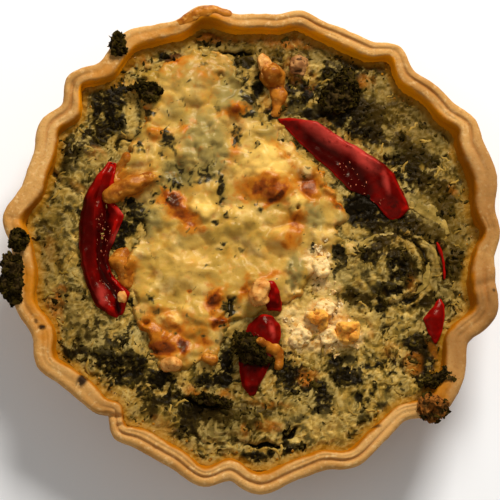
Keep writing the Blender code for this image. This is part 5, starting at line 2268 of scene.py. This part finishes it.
        # hollows and crests, which the materials darken and brighten as painted shade and light
        store(mesh, "hollow", np.clip(-curve * self.CURVE_SHARE, 0, 1))
        store(mesh, "crest", np.clip(curve * self.CURVE_SHARE, 0, 1))
        x, y = points[:, 0], points[:, 1]
        if node.startswith("pepper"):
            folds = sum(fold.weight(x, y) for fold in PEPPER_FOLDS) * smoothstep((facing[:, 2] - 0.1) / 0.4)
            move_points(mesh, points - folds[:, None] * (0, 0, 1))
        for name, spots, softness in self.MARKS:
            store(mesh, name, cover(spots, x, y, softness))
        store(mesh, "rust", np.full(len(points), 0.9 if node == "burnt_corner" else 0.0))


# ---- scattered bits


@dataclass(frozen=True)
class Sprinkle:
    """What is scattered over a piece, and how."""

    name: str
    by: str
    seed: int
    per_cm2: float
    smallest: float
    largest: float
    tilt: float
    rise_mm: float


class Bits:
    """Small closed shapes and the Geometry Nodes that scatter them."""

    KEPT = (
        "position", "material_index", "sharp_face", "sharp_edge", ".edge_verts", ".corner_vert",
        ".corner_edge", "leaf",
    )
    SHRED_FINISH = Finish(0.42, 0.08, 0.15, (1.6, 0.9, 0.3))
    CRUMB_FINISH = Finish(0.55, 0.1, 0.25, (1.6, 1.2, 0.7))
    INPUTS = (
        ("Surface", "Geometry"), ("Shapes", "Collection"), ("Weight", "String"), ("Amount", "Float"),
        ("Smallest", "Float"), ("Largest", "Float"), ("Tilt", "Float"), ("Rise", "Float"), ("Seed", "Int"),
    )

    def __init__(self) -> None:
        """Makes the shapes that are scattered."""
        self.draw = np.random.default_rng(71)
        self.leaf_material = self.leaf_paint()
        self.seed_material = self.toned_paint("pepper_seeds", Finish(0.3, 0.2), (110, 26, 14), (200, 112, 76))
        self.flakes = self.family("flake", [self.flake() for _ in range(5)])
        self.crumbs = self.family("crumb", [self.crumb() for _ in range(5)])
        self.shreds = self.family("shred", [self.shred(0.1, 0.07) for _ in range(6)])
        self.strands = self.family("strand", [self.shred(0.13, 0.03) for _ in range(6)])
        self.leaves = self.family("leaf", [self.leaf() for _ in range(6)])
        self.beads = self.family("bead", [self.bead()])

    def family(self, name: str, meshes: list[tuple[Array, list]]) -> Collection:
        """Gathers shapes in a collection that isn't shown itself.

        Args:
            name: Name of the collection.
            meshes: Points and faces of each shape.

        Returns:
            The collection.
        """
        group = bpy.data.collections.new(name)
        for at, (points, faces) in enumerate(meshes):
            mesh = mesh_of(f"{name}_{at}", points, faces, name != "crumb")
            group.objects.link(bpy.data.objects.new(f"{name}_{at}", mesh))
        return group

    @staticmethod
    def ball() -> tuple[Array, list]:
        """Points and faces of a ball 1 mm across.

        Returns:
            Points in millimetres, and faces.
        """
        solid = bmesh.new()
        bmesh.ops.create_icosphere(solid, subdivisions=2, radius=0.5)
        points = np.array([corner.co[:] for corner in solid.verts])
        faces = [tuple(corner.index for corner in face.verts) for face in solid.faces]
        solid.free()
        return points, faces

    def flake(self) -> tuple[Array, list]:
        """A torn bit of leaf about 1 mm wide: a thin bent lens.

        Returns:
            Points in millimetres, and faces.
        """
        corners, half, bend = 7, 0.136, 0.16
        turns = np.linspace(0, 2 * math.pi, corners, endpoint=False) + self.draw.uniform(-0.3, 0.3, corners)
        radii = self.draw.uniform(0.3, 0.62, corners)
        lift = self.draw.normal(0, bend, corners)
        edge = np.stack((radii * np.cos(turns), radii * np.sin(turns) * 0.5, lift), 1)
        middle = np.array(((0, 0, half), (0, 0, -half)))
        faces = []
        for at in range(corners):
            ahead = (at + 1) % corners
            faces += [(at, ahead, corners), (ahead, at, corners + 1)]
        return np.vstack((edge, middle)), faces

    def crumb(self) -> tuple[Array, list]:
        """A jagged crumb about 1 mm across.

        Returns:
            Points in millimetres, and faces.
        """
        points, faces = self.ball()
        grain = Grain(int(self.draw.integers(1000)))
        points *= 1 + 0.9 * grain.fractal(points, 0.45, 2)[:, None]
        return points * (1, 0.85, 0.75), faces

    def leaf(self) -> tuple[Array, list]:
        """A scrap of leaf about 1 mm across: a crumpled sheet with a ragged edge, closed.

        Returns:
            Points in millimetres, and faces.
        """
        spokes = 9
        turns = np.linspace(0, 2 * math.pi, spokes, endpoint=False) + self.draw.uniform(-0.2, 0.2, spokes)
        reach = self.draw.uniform(0.3, 0.6, spokes)
        ring = np.stack((reach * np.cos(turns), 0.75 * reach * np.sin(turns), np.zeros(spokes)), 1)
        top = np.vstack(((0, 0, 0), ring * 0.55, ring))
        across, along = 7 * top[:, 0] + self.draw.uniform(0, 6), 5 * top[:, 1] + self.draw.uniform(0, 6)
        top[:, 2] = 0.2 * np.sin(across) * np.sin(along)
        top[:, 2] += self.draw.normal(0, 0.05, len(top))
        under = top - (0, 0, 0.07)
        count, faces = len(top), []
        for at in range(spokes):
            a, b = 1 + at, 1 + (at + 1) % spokes
            c, d = a + spokes, b + spokes
            faces += [(0, a, b), (a, c, d, b), (count, b + count, a + count)]
            faces += [(b + count, d + count, c + count, a + count), (c, c + count, d + count, d)]
        return np.vstack((top, under)), faces

    def shred(self, width: float, height: float) -> tuple[Array, list]:
        """A curved shred about 1 mm long.

        Args:
            width: Half its width.
            height: Half its thickness.

        Returns:
            Points in millimetres for a shred 1 mm long, and faces.
        """
        stations, sides = 6, 5
        s = np.linspace(-0.5, 0.5, stations)
        bend = self.draw.uniform(-0.9, 0.9)
        path = np.stack((s, bend * s**2 + 0.05 * self.draw.normal(size=stations), -0.16 * s**2), 1)
        thick = np.sqrt(np.clip(1.02 - (2 * s) ** 4, 0.08, 1))
        turns = np.linspace(0, 2 * math.pi, sides, endpoint=False)
        ring = np.stack((np.zeros(sides), width * np.cos(turns), height * np.sin(turns)), 1)
        points = (path[:, None] + thick[:, None, None] * ring[None]).reshape(-1, 3)
        faces = []
        for i in range(stations - 1):
            for j in range(sides):
                a, b = i * sides + j, i * sides + (j + 1) % sides
                faces.append((a, b, b + sides, a + sides))
        faces.append(tuple(range(sides - 1, -1, -1)))
        faces.append(tuple((stations - 1) * sides + j for j in range(sides)))
        return points, [face[::-1] for face in faces]

    def bead(self) -> tuple[Array, list]:
        """A flat droplet about 1 mm across."""
        points, faces = self.ball()
        return points * (1, 1, 0.45), faces

    @staticmethod
    def tree(material: Material) -> NodeTree:
        """Geometry Nodes that scatter a collection over a surface.

        Args:
            material: Material of the scattered bits.

        Returns:
            A node group with named inputs.
        """
        group = bpy.data.node_groups.new("scatter", "GeometryNodeTree")
        for name, kind in Bits.INPUTS:
            group.interface.new_socket(name, in_out="INPUT", socket_type="NodeSocket" + kind)
        group.interface.new_socket("Bits", in_out="OUTPUT", socket_type="NodeSocketGeometry")

        def add(kind: str, inputs: dict, **settings: str) -> bpy.types.bpy_prop_collection:
            """Adds a node and gives its outputs."""
            return add_node(group, kind, inputs, **settings).outputs

        given = add("NodeGroupInput", {})
        seed, steepest = given["Seed"], given["Tilt"]
        weight = add("GeometryNodeInputNamedAttribute", {"Name": given["Weight"]}, data_type="FLOAT")
        amount = add("ShaderNodeMath", {0: weight["Attribute"], 1: given["Amount"]}, operation="MULTIPLY")
        spread = add("GeometryNodeDistributePointsOnFaces", {
            "Mesh": given["Surface"], "Density": amount[0], "Seed": seed,
        })
        lift = add("ShaderNodeVectorMath", {0: spread["Normal"], "Scale": given["Rise"]}, operation="SCALE")
        raised = add("GeometryNodeSetPosition", {"Geometry": spread["Points"], "Offset": lift["Vector"]})
        shapes = add("GeometryNodeCollectionInfo", {
            "Collection": given["Shapes"], "Separate Children": True, "Reset Children": True,
        })
        minus = add("ShaderNodeMath", {0: steepest, 1: -1.0}, operation="MULTIPLY")
        least = add("ShaderNodeCombineXYZ", {"X": minus[0], "Y": minus[0]})
        most = add("ShaderNodeCombineXYZ", {"X": steepest, "Y": steepest, "Z": 2 * math.pi})
        tilt = add("FunctionNodeRandomValue", {
            0: least[0], 1: most[0], "Seed": seed,
        }, data_type="FLOAT_VECTOR")
        turn = add("FunctionNodeRotateRotation", {
            "Rotation": spread["Rotation"], "Rotate By": tilt[0],
        }, rotation_space="LOCAL")
        size = add("FunctionNodeRandomValue", {
            2: given["Smallest"], 3: given["Largest"], "Seed": seed,
        }, data_type="FLOAT")
        place = add("GeometryNodeInstanceOnPoints", {
            "Points": raised["Geometry"], "Instance": shapes[0], "Pick Instance": True,
            "Rotation": turn["Rotation"], "Scale": size[1],
        })
        shade = add("FunctionNodeRandomValue", {}, data_type="FLOAT")
        toned = add("GeometryNodeStoreNamedAttribute", {
            "Geometry": place["Instances"], "Name": "shade", "Value": shade[1],
        }, data_type="FLOAT", domain="INSTANCE")
        solid = add("GeometryNodeRealizeInstances", {"Geometry": toned["Geometry"]})
        painted = add("GeometryNodeSetMaterial", {"Geometry": solid["Geometry"], "Material": material})
        add("NodeGroupOutput", {0: painted["Geometry"]})
        return group

    def scatter(
        self, surface: Object, shapes: Collection, how: Sprinkle,
        material: Material,
    ) -> Object:
        """Scatters shapes over a surface by its sprinkle number.

        Args:
            surface: The piece they lie on.
            shapes: Collection of shapes.
            how: Amount, sizes and seed.
            material: Material of the bits.

        Returns:
            One object holding all bits as a plain mesh.
        """
        host = new_object(how.name + "_host", surface.data.copy())
        group = self.tree(material)
        layer = host.modifiers.new("scatter", "NODES")
        layer.node_group = group
        wanted = {
            "Shapes": shapes, "Weight": how.by, "Amount": how.per_cm2 * CM2_PER_M2, "Smallest": how.smallest,
            "Largest": how.largest, "Tilt": how.tilt, "Rise": how.rise_mm * MM, "Seed": how.seed,
        }
        for socket in group.interface.items_tree:
            if socket.in_out == "INPUT" and socket.name in wanted:
                layer[socket.identifier] = wanted[socket.name]
        mesh = baked(host, how.name)
        for old in [kept.name for kept in mesh.attributes if kept.name in surface.data.attributes]:
            if old not in self.KEPT:
                mesh.attributes.remove(mesh.attributes[old])
        return new_object(how.name, mesh)

    @staticmethod
    def toned_paint(name: str, finish: Finish, dark: Colour, light: Colour) -> Material:
        """A finish whose bits each take their own tone between two colours.

        Args:
            name: Name of the material.
            finish: Gloss and softness.
            dark: Darkest tone.
            light: Lightest tone.

        Returns:
            The material.
        """
        paint = Paint(name, finish, dark)
        paint.layer("shade", light)
        return paint.material

    @staticmethod
    def leaf_paint() -> Material:
        """Cooked spinach bits from near-black to olive.

        Returns:
            The material.
        """
        paint = Paint("spinach_bits", Finish(0.7, 0.02), (16, 11, 2))
        tone = paint.plus("shade", paint.times("leaf", -0.9))
        paint.layer(paint.step(tone, -0.3, 0.9), (66, 52, 14))
        paint.layer(paint.step(tone, 0.7, 1.4), (112, 90, 36))
        return paint.material


# ---- studio


@dataclass(frozen=True)
class View:
    """Where the camera stands, in metres and degrees, and its lens in millimetres."""

    lens: float = 174.3
    sensor: float = 36.0
    distance: float = 0.8
    nearest: float = 0.01
    tilt: float = 11.94
    direction: float = -106.7
    roll: float = 0.4
    aim: tuple[float, float, float] = (-0.00209, -0.00339, 0.031)


@dataclass(frozen=True)
class Lamp:
    """A square soft lamp aimed at the quiche, in metres and watts."""

    name: str
    place: tuple[float, float, float]
    width: float
    power: float
    tint: tuple[float, float, float]


class Studio:
    """Floor, light and camera."""

    LAMPS = (
        Lamp("window", (0.26, 0.86, 0.78), 0.42, 18.0, (1.0, 0.98, 0.95)),
        Lamp("fill", (-0.5, -0.3, 0.9), 0.9, 1.4, (1.0, 0.98, 0.96)),
    )

    VIEW = View()
    FLOOR_COLOUR = (0.9, 0.9, 0.9, 1.0)
    FLOOR_HALF = 900.0
    AROUND_COLOUR = (1.0, 0.99, 0.97, 1.0)
    AROUND_STRENGTH = 0.24

    def floor(self) -> None:
        """Lays a large plain floor just under the quiche."""
        corners = np.array(((-1, -1, 0), (1, -1, 0), (1, 1, 0), (-1, 1, 0))) * self.FLOOR_HALF
        item = new_object("studio_floor", mesh_of("studio_floor", corners, [(0, 1, 2, 3)], False))
        paint = Paint("studio_floor", Finish(0.9, 0.1))
        paint.sockets["Base Color"].default_value = self.FLOOR_COLOUR
        item.data.materials.append(paint.material)

    @staticmethod
    def hang(lamp: Lamp) -> None:
        """Hangs a lamp.

        Args:
            lamp: Its place, size, power and colour.
        """
        data = bpy.data.lights.new(lamp.name, "AREA")
        data.size = lamp.width
        data.energy = lamp.power
        data.color = lamp.tint
        item = bpy.data.objects.new(lamp.name, data)
        bpy.context.scene.collection.objects.link(item)
        item.location = lamp.place
        item.rotation_euler = (-Vector(lamp.place)).to_track_quat("-Z", "Y").to_euler()

    def light(self) -> None:
        """Lights the quiche from behind and above, with a bright surrounding."""
        world = bpy.data.worlds.new("studio")
        world.use_nodes = True
        glow = world.node_tree.nodes["Background"].inputs
        glow["Color"].default_value = self.AROUND_COLOUR
        glow["Strength"].default_value = self.AROUND_STRENGTH
        bpy.context.scene.world = world
        for lamp in self.LAMPS:
            self.hang(lamp)
        bpy.context.scene.view_settings.view_transform = "Standard"

    def camera(self) -> None:
        """Looks at the quiche from nearly straight above."""
        view = self.VIEW
        turn, tilt, roll = map(math.radians, (view.direction, view.tilt, view.roll))
        back = Vector((math.cos(turn) * math.sin(tilt), math.sin(turn) * math.sin(tilt), math.cos(tilt)))
        right = Vector((0, 1, 0)).cross(back).normalized()
        up = back.cross(right)
        right = right * math.cos(roll) + up * math.sin(roll)
        up = back.cross(right)
        data = bpy.data.cameras.new("camera")
        data.lens = view.lens
        data.sensor_width = view.sensor
        data.clip_start = view.nearest
        item = bpy.data.objects.new("camera", data)
        bpy.context.scene.collection.objects.link(item)
        place = Vector(view.aim) + back * view.distance
        rows = [(right[i], up[i], back[i], place[i]) for i in range(3)]
        item.matrix_world = Matrix((*rows, (0, 0, 0, 1)))
        bpy.context.scene.camera = item


# ---- assembly


class Quiche:
    """Builds every piece and hides the imported nodes that it stands for."""

    KINDS = {
        "pepper": Look.PEPPER, "onion": Look.ONION, "feta": Look.FETA, "cheese_lump": Look.LUMP,
        "browned_lump": Look.LUMP, "mushroom": Look.MUSHROOM, "spinach": Look.CHARRED, "char": Look.CHARRED,
        "burnt": Look.CHARRED,
    }
    FEW_LEAVES = 12
    MANY_LEAVES = 46
    LEAST_SEEDY = 40
    SPRINKLES = (
        Sprinkle("spinach_leaves", "leafy", 5, 13, 1.6, 4.2, 0.2, -0.22),
        Sprinkle("spinach_strands", "stringy", 9, 12, 1.6, 4.6, 0.2, -0.16),
        Sprinkle("spinach_flakes", "leafy", 4, 12, 0.6, 1.6, 0.3, -0.05),
        Sprinkle("cheese_shreds", "shreddy", 15, 4, 3.0, 6.0, 0.12, -0.2),
        Sprinkle("feta_crumbs_low", "crumbly", 7, 9, 0.8, 2.3, 0.5, -0.25),
        Sprinkle("oil_beads", "oily", 21, 6, 0.4, 1.1, 0.0, -0.05),
        Sprinkle("herb_leaves", "leafy", 6, 14, 0.8, 2.2, 0.25, -0.08),
        Sprinkle("feta_crumbs_high", "crumbly", 8, 9, 0.8, 2.3, 0.5, -0.25),
    )

    def __init__(self, frame: dict) -> None:
        """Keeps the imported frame.
        """
        self.shapes = PackedShapes(frame["nodes"])

    @staticmethod
    def show(item: Object, slot: str, *nodes: str) -> None:
        """Fixes a piece to the body, hides the nodes it stands for and logs its triangle count.

        Args:
            item: The piece.
            slot: Name of its finish; not used.
            nodes: Nodes that it stands for.
        """
        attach(item, BODY)
        if nodes:
            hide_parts(*nodes)
        triangles = sum(len(face.vertices) - 2 for face in item.data.polygons)
        LOG.info("%s: %d triangles", item.name, triangles)

    def look_of(self, node: str) -> Look | None:
        """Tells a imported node's kind from its name."""
        return next((look for start, look in self.KINDS.items() if node.startswith(start)), None)

    def build(self) -> None:
        """Builds case, custard, cheese, toppings and scattered bits."""
        case = PastryCase(self.shapes)
        self.show(case.build(case.material()), "pastry", "pastry_case")
        relief = Relief(self.shapes, case)
        custard = Custard.build(relief)
        self.show(custard, "custard", "filling")
        cheese = MeltedCheese.build(relief)
        self.show(cheese, "melted_cheese", "melted_cheese")
        bits = self.bits = Bits()
        leaves = bits.leaf_material
        shreds = bits.toned_paint("custard_shreds", bits.SHRED_FINISH, (122, 94, 30), (176, 138, 60))
        crumbs = bits.toned_paint("feta_crumbs", bits.CRUMB_FINISH, (222, 178, 108), (246, 216, 160))
        oil = bits.toned_paint("oil_beads", Finish(0.12, 0.3), (130, 82, 8), (164, 108, 18))
        scattered = (
            (custard, bits.leaves, leaves, "spinach"),
            (custard, bits.strands, leaves, "spinach"),
            (custard, bits.flakes, leaves, "spinach"),
            (custard, bits.shreds, shreds, "custard"),
            (custard, bits.crumbs, crumbs, "feta"),
            (custard, bits.beads, oil, "custard"),
            (cheese, bits.leaves, leaves, "spinach"),
            (cheese, bits.crumbs, crumbs, "feta"),
        )
        for how, (surface, shapes, material, slot) in zip(self.SPRINKLES, scattered):
            self.show(bits.scatter(surface, shapes, how, material), slot)
        toppings = Toppings(self.shapes)
        for morsel in MORSELS:
            x, y = np.array(morsel.blobs)[:, :2].T
            piece = toppings.grown(morsel, relief.ground(x, y))
            self.show(piece, "browned_cheese" if morsel.look is Look.CRISP else morsel.look.value)
            self.dress(piece, morsel.name, morsel.look)
        for node in sorted(self.shapes.nodes):
            look = self.look_of(node)
            if look is not None:
                piece = toppings.build(node, look)
                self.show(piece, look.value, node)
                self.dress(piece, node, look)

    def dress(self, piece: Object, name: str, look: Look) -> None:
        """Scatters leaves over charred spinach and seeds over peppers.

        Args:
            piece: The topping.
            name: Its name.
            look: Its kind.
        """
        mesh = piece.data
        x, y = points_of(mesh)[:, :2].T
        if look is Look.CHARRED:
            store(mesh, "leafy", np.ones(len(x)))
            store(mesh, "leaf", np.full(len(x), 0.3))
            per_cm2 = self.FEW_LEAVES if name == "burnt_corner" else self.MANY_LEAVES
            how = Sprinkle(name + "_leaves", "leafy", len(name), per_cm2, 1.4, 3.4, 0.4, -0.15)
            self.show(self.bits.scatter(piece, self.bits.leaves, how, self.bits.leaf_material), "spinach")
        if look is Look.PEPPER:
            weight = cover(SEEDY, x, y, 0.4) * (normals_of(mesh)[:, 2] > 0.3)
            if weight.sum() > self.LEAST_SEEDY:
                store(mesh, "seedy", weight)
                how = Sprinkle(name + "_seeds", "seedy", 3, 46, 0.5, 1.3, 0.4, 0.0)
                self.show(self.bits.scatter(piece, self.bits.flakes, how, self.bits.seed_material), "pepper")


def main() -> None:
    """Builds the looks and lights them."""
    logging.basicConfig(level=logging.INFO, format="%(name)s %(message)s")
    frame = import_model()
    Quiche(frame).build()
    studio = Studio()
    studio.floor()
    studio.light()
    studio.camera()


if __name__ == "__main__":
    main()
